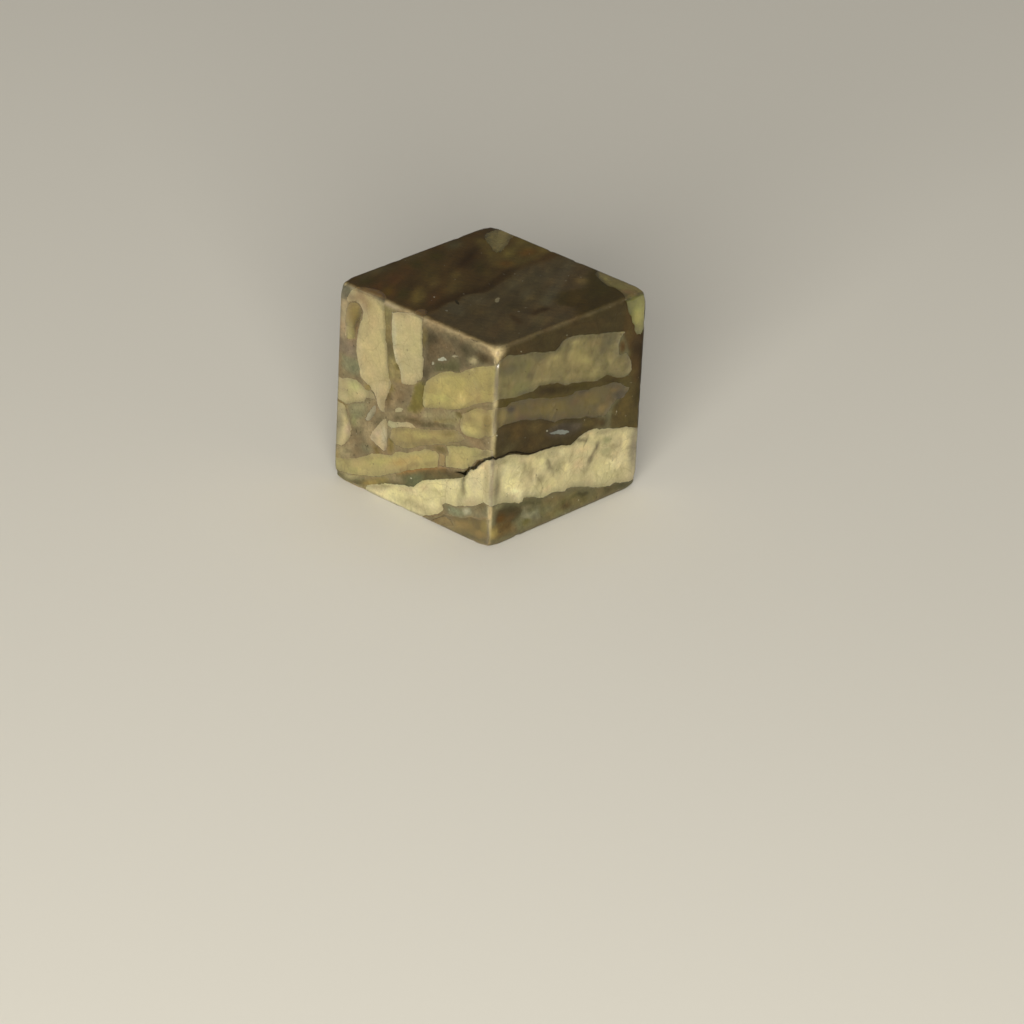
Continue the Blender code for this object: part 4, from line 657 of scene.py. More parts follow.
    ("top", -10.3, 9.3, 0.5, 0.5, -45, "top_olive", 0.4, "t_olive"),
    ("top", -3.8, 9.8, 0.9, 1.4, 0, "top_ember", 0.8, "t_gold"),
    ("top", -3.3, 5.4, 0.8, 0.9, 0, "top_ember", 0.9, "t_gold"),
    ("top", -3.2, 11.8, 0.9, 0.7, 0, "top_strip", 0.5, "t_gold"),
    ("top", -6.6, 11.6, 0.8, 0.9, 0, "top_strip", 0.35, "t_gold"),
    ("top", -5.4, 8.2, 0.5, 1.8, 35, "top_strip", 0.5, "t_gold"),
    ("top", -6.4, 6.0, 1.6, 0.4, -35, "top_olive", 0.4, "t_gold"),
    ("top", 5.6, 8.4, 0.7, 0.9, 30, "top_pale", 0.8, "t_grey"),
    ("top", 4.6, 5.2, 0.7, 1.4, 35, "top_pale", 0.4, "t_grey"),
    ("top", 1.3, 2.2, 0.7, 1.2, 30, "top_pale", 0.5, "t_grey"),
    ("top", 5.0, 0.8, 0.5, 1.2, 35, "top_pale", 0.7, "t_grey"),
    ("top", 10.0, -2.6, 1.2, 1.4, 30, "top_pale", 0.5, "t_grey"),
    ("top", 8.8, -7.0, 1.2, 0.5, -25, "top_pale", 0.6, "t_grey"),
    ("top", -4.8, 2.4, 0.9, 0.8, -50, "top_bark", 0.8, "metal_t"),
    ("top", -9.2, -4.6, 1.6, 0.8, -50, "top_rust", 0.5, "metal_t"),
    ("top", -11.6, -7.0, 0.7, 1.8, 0, "top_slate", 0.7, "metal_t"),
    ("front", -9.0, 21.9, 0.5, 1.0, 0, "gold_dark", 0.85, "plate_a0"),
    ("front", -10.8, 19.4, 0.6, 1.4, 0, "olive_yellow", 0.9, "plate_a0"),
    ("front", -10.4, 22.8, 0.9, 0.3, 0, "tan_orange", 0.6, "plate_a0"),
    ("front", -10.3, 23.7, 1.4, 0.5, 20, "tan_orange", 0.95, "plate_a"),
    ("front", -8.5, 23.9, 1.3, 0.9, 0, "tan_orange", 0.7, "plate_a"),
    ("front", -9.1, 17.9, 0.35, 0.9, 0, "cream_warm", 0.8, "plate_a"),
    ("front", -4.1, 19.4, 0.5, 1.2, 0, "gap_grey", 0.9, "lamella"),
    ("front", -4.2, 24.7, 1.6, 0.45, 0, "pinkish", 0.9, "lamella"),
    ("front", -4.9, 22.6, 0.3, 1.4, 0, "olive", 0.5, "lamella"),
    # a painted highlight along the rounded left edge
    ("front", -11.7, 20.6, 0.9, 2.8, 0, "pinkish", 0.85, "metal_f"),
    ("front", -10.5, 24.3, 0.6, 0.5, 0, "moss", 0.8, "metal_f"),
    ("front", -10.6, 24.2, 0.5, 0.4, 0, "moss", 0.8, "f_corner_grey"),
    ("front", 8.3, 7.0, 0.30, 1.1, 5, "crease", 0.95, "cream"),
    ("front", 8.2, 5.6, 0.45, 0.8, 5, "crease_tan", 0.7, "cream"),
    ("front", 7.2, 6.2, 0.6, 1.0, 0, "cream_white", 0.6, "cream"),
    ("front", 9.7, 6.9, 0.8, 1.4, 0, "cream_white", 0.55, "cream"),
    ("front", 5.6, 5.3, 1.2, 0.5, 22, "cream_white", 0.5, "cream"),
    ("front", 4.3, 3.9, 1.4, 0.35, 20, "straw", 0.35, "cream"),
    ("front", 3.4, 1.9, 1.2, 0.6, 20, "cream_white", 0.6, "cream"),
    ("front", 2.0, 3.6, 0.9, 0.5, 20, "cream_pink", 0.7, "cream"),
    ("front", -0.8, 2.4, 1.4, 0.4, 20, "cream_pink", 0.7, "cream"),
    ("front", -4.6, 1.4, 1.6, 0.35, 18, "straw_warm", 0.7, "cream"),
    ("front", 5.6, 7.1, 1.0, 0.25, 22, "cream_white", 0.6, "cream"),
    ("front", 9.8, 4.9, 1.4, 0.35, 22, "cream_pink", 0.6, "cream"),
    ("front", 11.9, 8.0, 0.45, 2.6, 0, "crease_tan", 0.5, "cream"),
    ("front", 11.2, 10.2, 0.8, 0.5, 30, "cream_pink", 0.7, "cream"),
    ("side", -11.7, 7.4, 0.42, 1.9, 0, "crease", 0.75, "cream"),
    ("side", -12.3, 8.6, 0.3, 2.2, 0, "straw", 0.6, "cream"),
    ("side", -10.2, 8.2, 0.7, 1.8, 0, "cream_bright", 0.6, "cream"),
    ("side", -10.8, 10.4, 0.9, 0.4, 0, "straw", 0.7, "cream"),
    ("side", -9.2, 6.9, 1.4, 1.0, -20, "cream_bright", 0.8, "cream"),
    ("side", -8.3, 5.7, 1.5, 0.4, -22, "cream_white", 1.0, "cream"),
    ("side", -8.0, 4.9, 0.8, 0.25, -15, "cream_white", 0.9, "cream"),
    ("side", -6.7, 9.3, 1.4, 0.35, -15, "cream_pink", 0.5, "cream"),
    ("side", -6.0, 7.4, 0.5, 1.5, 12, "crease_tan", 0.8, "cream"),
    ("side", -4.3, 5.9, 0.9, 0.7, -35, "crease_tan", 0.95, "cream"),
    ("side", -4.3, 7.8, 0.7, 1.2, 0, "cream_bright", 0.5, "cream"),
    ("side", -4.4, 9.2, 1.0, 0.3, -14, "straw", 0.6, "cream"),
    ("side", -3.0, 4.35, 0.9, 0.3, -5, "cream_pink", 1.0, "cream"),
    ("side", -5.4, 4.8, 0.8, 0.25, -18, "cream_white", 0.6, "cream"),
    ("side", -1.4, 6.7, 0.8, 1.0, 20, "straw", 0.8, "cream"),
    ("side", -2.2, 8.8, 1.2, 0.5, -15, "straw", 0.4, "cream"),
    ("side", -0.4, 8.6, 1.0, 0.5, -10, "cream_bright", 0.7, "cream"),
    ("side", 0.4, 5.6, 0.7, 1.4, 0, "cream_bright", 0.7, "cream"),
    ("side", 2.7, 8.95, 1.5, 0.27, -22, "crease_brown", 1.0, "cream"),
    ("side", 1.3, 9.0, 0.7, 0.25, 10, "yellow_green", 0.7, "cream"),
    ("side", 3.9, 9.2, 0.9, 0.3, -8, "peach", 0.9, "cream"),
    ("side", 3.0, 7.6, 1.4, 0.5, -5, "cream_pink", 0.8, "cream"),
    ("side", 2.4, 5.9, 1.0, 0.7, 0, "cream_pink", 0.8, "cream"),
    ("side", 6.4, 8.7, 1.5, 0.3, -12, "edge_tan", 0.5, "cream"),
    ("side", 5.5, 7.1, 0.75, 0.5, 45, "crease_brown", 1.0, "cream"),
    ("side", 4.5, 5.8, 0.45, 0.8, -30, "crease_brown", 0.9, "cream"),
    ("side", 3.7, 4.6, 0.9, 0.5, 35, "crease_tan", 0.8, "cream"),
    ("side", 7.3, 7.4, 0.8, 0.5, -10, "yellow_green", 0.95, "cream"),
    ("side", 8.9, 6.1, 0.9, 0.35, -15, "crease_tan", 0.95, "cream"),
    ("side", 7.2, 6.0, 1.1, 0.5, -10, "yellow_green", 0.8, "cream"),
    ("side", 7.6, 5.2, 1.3, 0.22, -22, "straw", 0.8, "cream"),
    ("side", 6.6, 3.8, 2.0, 0.9, -18, "cream_bright", 0.35, "cream"),
    ("side", 10.4, 6.4, 0.5, 1.6, 0, "cream_bright", 0.7, "cream"),
    ("side", 10.2, 2.4, 1.2, 0.6, 0, "straw", 0.4, "cream"),
    ("side", 11.8, 5.0, 0.5, 3.2, 0, "edge_tan", 0.9, "cream"),
    ("side", -9.8, 2.2, 1.2, 0.4, 0, "low_glow", 0.6, "s_low_orange"),
    ("side", -11.8, 1.8, 0.6, 0.8, 0, "tan", 0.6, "s_low_orange"),
    ("side", -8.2, 1.4, 0.7, 0.5, 0, "low_pink", 0.8, "s_low_orange"),
    ("side", -8.0, 1.2, 0.7, 0.5, 0, "low_pink", 0.8, "metal_s"),
    ("side", 9.8, 0.9, 1.6, 0.35, -8, "low_slate", 0.8, "metal_s"),
    ("side", 7.6, 1.2, 0.9, 0.3, -10, "low_deep", 0.8, "metal_s"),
    ("top", 11.4, 10.6, 0.9, 0.7, 0, "top_pink", 0.9, "corner"),
    ("top", 7.4, 11.3, 1.4, 0.4, -20, "top_yellow", 0.9, "corner"),
    ("top", 9.6, 10.6, 1.0, 0.4, -10, "top_yellow", 0.8, "corner"),
    ("side", 11.2, 23.0, 0.6, 1.6, 0, "yellow_green", 0.8, "corner"),
    ("front", -7.3, 15.6, 1.0, 0.7, 30, "cream_warm", 0.8, "plate_a"),
    ("front", -5.4, 14.2, 0.9, 1.1, 0, "cream_warm", 0.8, "plate_a"),
    ("front", -5.3, 12.3, 0.5, 0.8, 0, "straw_warm", 0.7, "plate_a"),
    ("front", -9.2, 24.6, 0.9, 0.5, 0, "tan_orange", 0.9, "plate_a"),
    ("front", -8.4, 23.4, 0.5, 0.8, 0, "tan_orange", 0.7, "plate_a"),
    ("front", -7.0, 24.6, 1.6, 0.4, 0, "straw_warm", 0.6, "plate_a"),
    ("front", -7.2, 22.4, 1.2, 0.9, 0, "straw_warm", 0.35, "plate_a"),
    ("front", -5.8, 20.0, 0.6, 1.6, 0, "plate_cool", 0.6, "plate_a"),
    ("front", -5.2, 23.6, 0.35, 1.4, 0, "honey", 0.6, "plate_a"),
    ("front", -7.9, 14.4, 0.7, 0.4, 0, "straw", 0.6, "plate_a"),
    # a painted highlight along the rounded left edge
    ("front", -11.6, 21.0, 0.5, 2.4, 0, "vein_pale", 0.5, "metal_f"),
    ("front", -8.6, 7.0, 1.2, 1.0, 50, "vein_dark", 0.5, "metal_f"),
    ("front", -7.0, 8.0, 0.6, 1.2, -35, "vein_pale", 0.35, "metal_f"),
    ("front", -8.2, 5.2, 1.4, 0.4, 22, "vein_dark", 0.5, "metal_f"),
    ("front", -4.0, 12.4, 0.4, 1.2, 0, "vein_dark", 0.6, "metal_f"),
    ("front", -3.2, 12.9, 0.6, 0.5, 30, "vein_pale", 0.4, "metal_f"),
    ("front", -7.0, 13.2, 1.0, 0.25, -25, "vein_dark", 0.5, "metal_f"),
    ("front", -8.9, 13.9, 0.8, 0.2, 0, "vein_dark", 0.4, "metal_f"),
    ("front", -12.0, 3.0, 0.5, 1.2, 0, "tan", 0.6, "metal_f"),
    ("front", 8.9, 12.3, 1.0, 0.4, 25, "vein_dark", 0.6, "metal_f"),
    ("front", 2.4, 22.9, 1.1, 0.9, 0, "slate_dark", 0.85, "f_speckled"),
    ("front", 2.0, 20.8, 0.5, 1.6, 0, "bark_red", 0.35, "f_speckled"),
    ("front", 7.4, 23.2, 1.0, 0.8, 0, "slate_dark", 0.8, "f_speckled"),
    ("front", 10.4, 23.2, 1.4, 0.6, 0, "bark_red", 0.75, "f_speckled"),
    ("front", 4.6, 22.9, 1.0, 0.8, 0, "vein_dark", 0.6, "f_speckled"),
    ("front", 8.9, 22.35, 0.6, 0.3, 20, "vein_pale", 0.6, "f_speckled"),
    ("front", 5.4, 20.4, 1.2, 0.5, 20, "moss_dark", 0.7, "f_speckled"),
    ("front", 1.6, 18.6, 0.4, 1.0, 0, "slate_dark", 0.5, "f_speckled"),
    ("front", -2.2, 8.9, 0.9, 0.7, 15, "honey", 0.6, "band_k"),
    ("front", -0.4, 10.2, 1.4, 0.35, 18, "straw", 0.8, "band_k"),
    ("front", 1.6, 10.3, 1.4, 0.35, 18, "straw", 1.0, "band_k"),
    ("front", 1.0, 9.3, 1.6, 0.3, 20, "tan", 0.7, "band_k"),
    ("front", -1.2, 8.3, 1.2, 0.3, 15, "gold_mid", 0.6, "band_k"),
    ("front", 3.6, 11.2, 1.4, 0.35, 20, "honey", 0.7, "band_k"),
    ("front", 5.6, 12.1, 1.4, 0.35, 25, "gold", 0.8, "band_k"),
    ("front", 3.0, 10.35, 0.7, 0.25, 15, "gold_mid", 0.5, "band_k"),
    ("front", 7.3, 12.4, 0.7, 0.4, 20, "vein_pale", 0.7, "band_k"),
    ("front", 7.4, 9.4, 2.0, 0.6, 20, "plate_cool", 0.45, "plate_e"),
    ("front", 6.0, 9.0, 0.6, 0.9, 0, "honey", 0.6, "plate_e"),
    ("front", 11.2, 11.65, 0.9, 0.4, 25, "gold_dark", 0.75, "plate_e"),
    ("front", 9.9, 11.2, 0.6, 0.5, 0, "olive_green", 0.5, "plate_e"),
    ("front", 8.6, 14.9, 1.6, 0.5, 20, "tan", 0.7, "band_d"),
    ("front", 9.2, 13.6, 1.2, 0.4, 10, "plate", 0.6, "band_d"),
    ("front", 11.4, 15.6, 0.7, 1.3, 0, "gold", 0.75, "band_d"),
    ("front", 10.4, 16.6, 0.9, 0.3, 20, "honey", 0.7, "band_d"),
    ("front", 5.8, 7.3, 1.8, 0.35, 20, "bark", 0.8, "wedge"),
    ("front", 3.4, 6.3, 1.4, 0.35, 22, "umber", 0.7, "wedge"),
    ("front", 0.6, 4.6, 1.4, 0.9, 30, "wedge_green", 0.9, "wedge"),
    ("front", 7.2, 7.7, 0.9, 0.3, 20, "umber", 0.7, "wedge"),
    ("front", -6.4, 1.5, 1.4, 0.4, 25, "gold_dark", 0.9, "wedge"),
    ("front", -4.6, 2.6, 1.2, 0.35, 25, "gold_dark", 0.8, "wedge"),
    ("front", -2.4, 3.45, 1.3, 0.45, 15, "slate", 0.9, "wedge"),
    ("top", -7.2, 3.2, 3.4, 0.85, -62, "top_deep", 0.95, "metal_t"),
    ("top", -8.6, 5.8, 1.6, 0.6, -50, "top_bark", 0.8, "metal_t"),
    ("top", -10.2, 1.0, 1.8, 0.8, -50, "top_moss", 0.9, "metal_t"),
    ("top", -11.0, 4.7, 0.9, 1.3, 20, "top_slate", 0.9, "metal_t"),
    ("top", -11.6, -1.0, 0.7, 2.2, 0, "top_slate", 0.5, "metal_t"),
    ("top", -9.9, -2.6, 1.4, 0.7, -50, "top_moss", 0.8, "metal_t"),
    ("top", -5.0, -1.2, 1.4, 0.4, -58, "top_pale", 0.75, "metal_t"),
    ("top", -5.1, -4.6, 1.6, 0.4, -55, "top_pale", 0.8, "metal_t"),
    ("top", -7.2, -3.0, 2.6, 1.0, -50, "top_tan", 0.7, "metal_t"),
    ("top", -3.0, -3.6, 2.4, 0.9, -55, "top_gold", 0.55, "metal_t"),
    ("top", -8.6, -7.4, 1.8, 0.9, -55, "top_rust", 0.8, "metal_t"),
    ("top", -6.7, -10.4, 1.6, 0.4, -62, "top_amber", 0.95, "metal_t"),
    ("top", -6.0, -10.4, 1.8, 0.3, -55, "top_rust", 0.9, "metal_t"),
    ("top", -8.3, -10.6, 1.3, 0.4, -60, "top_rust", 0.7, "metal_t"),
    ("top", -10.3, -10.4, 1.3, 0.7, -70, "top_moss", 0.9, "metal_t"),
    ("top", -11.4, -9.6, 1.6, 0.4, -75, "top_slate", 0.8, "metal_t"),
    ("top", -5.1, -9.6, 1.6, 0.5, -58, "top_moss", 0.9, "metal_t"),
    ("top", -3.6, -8.8, 2.4, 0.7, -52, "top_olive", 0.45, "metal_t"),
    ("top", -1.6, -8.6, 2.2, 0.35, -55, "top_rust", 0.95, "metal_t"),
    ("top", -6.2, -7.0, 1.8, 0.5, -50, "top_bark", 0.5, "metal_t"),
    ("top", -1.7, -1.6, 2.6, 0.5, -75, "top_bark", 0.6, "metal_t"),
    ("top", -4.6, 2.6, 2.2, 0.6, -50, "top_moss", 0.5, "metal_t"),
    ("top", -3.0, 2.0, 1.6, 0.6, -50, "top_tan", 0.6, "metal_t"),
    ("front", -2.8, 19.4, 0.7, 0.7, 0, "cream_warm", 0.8, "plate_b"),
    ("front", 0.7, 21.0, 0.3, 1.2, 0, "cream", 0.8, "plate_b"),
    ("front", 0.6, 17.9, 0.4, 0.5, 0, "cream", 0.7, "plate_b"),
    ("front", -2.4, 24.3, 1.5, 0.35, 15, "tan", 0.6, "plate_b"),
    ("front", 11.2, 20.4, 0.9, 2.2, 0, "honey", 0.6, "band_c"),
    ("front", 2.4, 16.6, 1.0, 0.9, 40, "honey", 0.7, "band_c"),
    ("front", 9.2, 20.9, 1.6, 0.6, 30, "honey", 0.5, "band_c"),
    ("front", 1.9, 14.5, 0.5, 0.5, 0, "plate", 0.6, "band_c"),
    ("front", 7.0, 16.4, 1.4, 0.5, 25, "plate", 0.5, "band_c"),
    ("side", 11.2, 24.0, 0.9, 0.8, 0, "olive_green", 0.6, "corner"),
    ("side", 11.0, 22.2, 0.8, 0.8, 0, "straw", 0.8, "corner"),
    ("side", 11.0, 20.5, 0.7, 0.6, 0, "olive", 0.8, "corner"),
    ("side", 1.4, 11.2, 0.8, 0.3, -15, "vein", 0.5, "s_glint_halo"),
    ("top", 2.0, 6.0, 2.0, 2.6, 0, "top_slate", 0.4, "t_grey"),
    ("top", 1.6, 1.8, 0.5, 1.6, 30, "top_slate", 0.8, "t_grey"),
    ("top", 4.2, 1.0, 0.5, 1.6, 30, "top_slate", 0.8, "t_grey"),
    ("top", 1.6, -4.4, 1.2, 1.0, 0, "top_slate", 0.6, "t_grey"),
    ("top", 4.0, -6.8, 1.0, 1.6, 30, "top_gold", 0.35, "t_grey"),
    ("top", 9.6, -2.6, 1.6, 2.2, 0, "top_slate", 0.35, "t_grey"),
    ("top", 9.0, -6.7, 1.2, 0.5, -25, "top_gold", 0.35, "t_grey"),
    ("top", 5.4, -2.6, 1.6, 1.6, 0, "top_dark", 0.5, "t_grey"),
    ("top", 8.0, 4.4, 1.4, 1.8, 0, "top_gold", 0.15, "t_right_dark"),
    ("top", 11.0, 5.6, 1.0, 2.4, 20, "top_bark", 0.6, "t_right_dark"),
    ("top", 10.2, 11.2, 1.0, 0.6, 0, "olive_green", 0.3, "corner"),
    ("top", 8.2, 11.0, 0.8, 0.5, 0, "olive", 0.25, "corner"),
    ("left", 5.4, 20.0, 1.6, 3.0, 8, "cream_warm", 0.4, "l_plate_one"),
    ("left", -8.0, 7.6, 1.6, 1.2, 10, "cream_bright", 0.7, "l_cream"),
    ("left", -2.0, 8.0, 0.8, 1.2, 25, "straw", 0.8, "l_cream"),
    ("left", -5.4, 7.4, 0.7, 0.9, 0, "plate", 0.8, "l_cream"),
    ("left", 1.8, 9.0, 0.9, 0.8, 0, "straw", 0.6, "l_cream"),
    ("left", -6.4, 21.0, 1.6, 1.2, 0, "olive", 0.7, "l_band"),
    ("left", -11.0, 20.6, 1.2, 1.4, 0, "olive", 0.7, "l_band"),
    ("left", -2.6, 21.2, 1.0, 0.7, 0, "vein_pale", 0.6, "l_band"),
    ("left", -6.0, 13.8, 2.4, 0.8, 8, "gold", 0.6, "l_mid"),
    ("left", -11.0, 14.0, 1.4, 0.9, 0, "straw", 0.5, "l_mid"),
    ("left", -8.0, 1.8, 1.6, 0.8, 0, "gold_dark", 0.6, "l_foot"),
    ("back", -5.2, 17.4, 1.8, 2.2, 20, "cream_warm", 0.5, "b_plate_one"),
    ("back", -7.8, 15.2, 1.2, 1.2, 0, "straw", 0.6, "b_plate_one"),
    ("back", 3.4, 20.0, 1.2, 2.4, 0, "honey", 0.6, "b_plate_two"),
    ("back", 8.0, 8.4, 1.6, 0.9, -15, "cream_bright", 0.7, "l_cream"),
    ("back", 4.2, 9.4, 1.0, 1.0, 0, "straw", 0.7, "l_cream"),
    ("back", -9.8, 4.4, 1.8, 1.2, 0, "cream_bright", 0.6, "cream"),
    ("back", -5.6, 4.8, 0.9, 1.1, 20, "straw", 0.8, "cream"),
    ("back", -3.2, 4.4, 0.7, 1.0, 0, "plate", 0.6, "cream"),
    ("back", 4.6, 2.4, 1.6, 0.8, 0, "gold_dark", 0.6, "b_low"),
]

# How each crystal is made: depth of its pocket in mm, height of the fracture relief on its bed, and size of the relief.
BEDS = {
    "plate_a": (0.30, 0.04, 1.6), "plate_b": (0.30, 0.04, 1.6), "plate_a0": (0.32, 0.08, 1.2),
    "band_c": (0.38, 0.10, 1.0), "band_d": (0.36, 0.10, 1.2), "cream": (0.42, 0.15, 1.25), "bar": (0.32, 0.05, 1.3),
    "l_cream": (0.42, 0.15, 1.25), "l_plate_one": (0.30, 0.05, 1.6), "b_plate_one": (0.32, 0.06, 1.5),
    "corner": (0.36, 0.10, 1.0),
}
BED_DEFAULT = (0.30, 0.08, 1.1)
CRYSTALS = ("pale", "honey", "olive", "smoke")

# face: (origin corner of its map on the sharp cube, across, up, map's own middle)
FACES = {
    "front": (FRONT, (1, 0, 0), (0, 0, 1), (0, -1, 0), (0.0, HALF)),
    "side": (SIDE, (0, 1, 0), (0, 0, 1), (1, 0, 0), (0.0, HALF)),
    "back": (BACK, (-1, 0, 0), (0, 0, 1), (0, 1, 0), (0.0, HALF)),
    "left": (LEFT, (0, -1, 0), (0, 0, 1), (-1, 0, 0), (0.0, HALF)),
    "top": (TOP, (1, 0, 0), (0, 1, 0), (0, 0, 1), (0.0, 0.0)),
    "under": (UNDER, (1, 0, 0), (0, -1, 0), (0, 0, -1), (0.0, 0.0)),
}
FACE_NAMES = list(FACES)


# ------------------------------------------------------------------------------------------ cutting the maps
def smooth(x):
    x = min(max(x, 0.0), 1.0)
    return x * x * (3.0 - 2.0 * x)


def ragged(face, u, v):
    """Natural unevenness of an outline. It fades out at the cube's edges, where two maps meet."""
    edge = HALF - max(abs(u), abs(v))
    k = smooth(edge / 0.9)
    if k <= 0.0:
        return u, v
    seed = 17.0 * FACE_NAMES.index(face)
    a = noise.noise_vector(Vector((u * 0.9, v * 0.9, seed)))
    b = noise.noise_vector(Vector((u * 2.7, v * 2.7, seed + 5.0)))
    c = noise.noise_vector(Vector((u * 6.5, v * 6.5, seed + 9.0)))
    return u + k * (0.08 * a.x + 0.075 * b.x + 0.05 * c.x), v + k * (0.08 * a.y + 0.075 * b.y + 0.05 * c.y)


def outline(face, points):
    """A map outline, moved to the face's middle, with a point every 0.3 mm and its natural unevenness."""
    middle = FACES[face][4]
    pts = [(p[0] - middle[0], p[1] - middle[1]) for p in points]
    out = []
    for (u0, v0), (u1, v1) in zip(pts, pts[1:] + pts[:1]):
        steps = max(1, math.ceil(math.hypot(u1 - u0, v1 - v0) / 0.20))
        for k in range(steps):
            t = k / steps
            u, v = u0 + (u1 - u0) * t, v0 + (v1 - v0) * t
            out.append(ragged(face, u, v) if max(abs(u), abs(v)) < HALF else (u, v))
    return out


def clip(p, q):
    """The part of a segment inside the face, and whether each end lies on the face's rim, or None."""
    t0, t1 = 0.0, 1.0
    d = (q[0] - p[0], q[1] - p[1])
    for axis in (0, 1):
        for sign in (-1.0, 1.0):
            num = HALF - sign * p[axis]
            den = sign * d[axis]
            if abs(den) < 1e-12:
                if num < 0:
                    return None
                continue
            t = num / den
            if den > 0:
                t1 = min(t1, t)
            else:
                t0 = max(t0, t)
    if t1 - t0 < 1e-9:
        return None
    ends = [(p[0] + d[0] * t, p[1] + d[1] * t) for t in (t0, t1)]
    on_rim = [max(abs(u), abs(v)) > HALF - 1e-5 for u, v in ends]
    return ends[0], ends[1], on_rim[0], on_rim[1]


def to_cube(face, u, v):
    _, across, up, out, _ = FACES[face]
    return tuple(u * across[i] + v * up[i] + HALF * out[i] for i in range(3))


def edge_key(p):
    """Which edge of the sharp cube a point lies on, and how far along it."""
    at = [1 if c > HALF - 1e-6 else -1 if c < -HALF + 1e-6 else 0 for c in p]
    if sum(a != 0 for a in at) < 2:
        return None, 0.0
    free = at.index(0) if 0 in at else None
    return (tuple(at), p[free]) if free is not None else (None, 0.0)


outlines = {
    face: [(name, kind, colour, outline(face, points)) for name, kind, colour, points in FACES[face][0]]
    for face in FACES
}

# Where outlines cross the cube's edges. Both faces of an edge share one list of points.
crossings = {}
for face in FACES:
    for _, _, _, pts in outlines[face]:
        for p, q in zip(pts, pts[1:] + pts[:1]):
            cut = clip(p, q)
            if cut is None:
                continue
            for end, was_cut in ((cut[0], cut[2]), (cut[1], cut[3])):
                if was_cut:
                    key, along = edge_key(to_cube(face, *end))
                    if key:
                        crossings.setdefault(key, []).append(along)
steady = [i * 0.5 for i in range(-24, 25)] + [s * (HALF - d) for s in (-1, 1) for d in (0.09, 0.19, 0.31, 0.45, 0.6, 0.8)]
edge_points = {}
for a in (-1, 1):
    for b in (-1, 1):
        for key in ((0, a, b), (a, 0, b), (a, b, 0)):
            marks = []
            for c in sorted(crossings.get(key, [])):
                if not marks or c - marks[-1] > 0.07:
                    marks.append(c)
            marks = [m for m in marks if abs(m) < HALF - 0.02]
            marks += [s for s in steady if all(abs(s - m) > 0.06 for m in marks)]
            edge_points[key] = sorted(marks)


def snap(face, end):
    """The shared point of the cube's edge that is nearest to where an outline crosses it."""
    p = to_cube(face, *end)
    key, along = edge_key(p)
    if not key:
        return end
    near = min(edge_points[key], key=lambda m: abs(m - along))
    free = key.index(0)
    p = [k * HALF if k else near for k in key]
    _, across, up, _, _ = FACES[face]
    return sum(p[i] * across[i] for i in range(3)), sum(p[i] * up[i] for i in range(3))


def inside(points, poly):
    """Which of the points are in the outline (even-odd), for numpy arrays."""
    x, y = points[:, 0], points[:, 1]
    found = np.zeros(len(points), bool)
    px, py = poly[:, 0], poly[:, 1]
    qx, qy = np.roll(px, -1), np.roll(py, -1)
    for i in range(len(poly)):
        if py[i] == qy[i]:
            continue
        cross = (py[i] > y) != (qy[i] > y)
        found ^= cross & (x < (qx[i] - px[i]) * (y - py[i]) / (qy[i] - py[i]) + px[i])
    return found


skin_points, skin_index = [], {}
triangles = []  # (a, b, c, face, region number)
regions = []  # (face, name, kind, colour)


def skin_vertex(p):
    key = tuple(int(round(c * 5e3)) for c in p)
    if key not in skin_index:
        skin_index[key] = len(skin_points)
        skin_points.append(p)
    return skin_index[key]


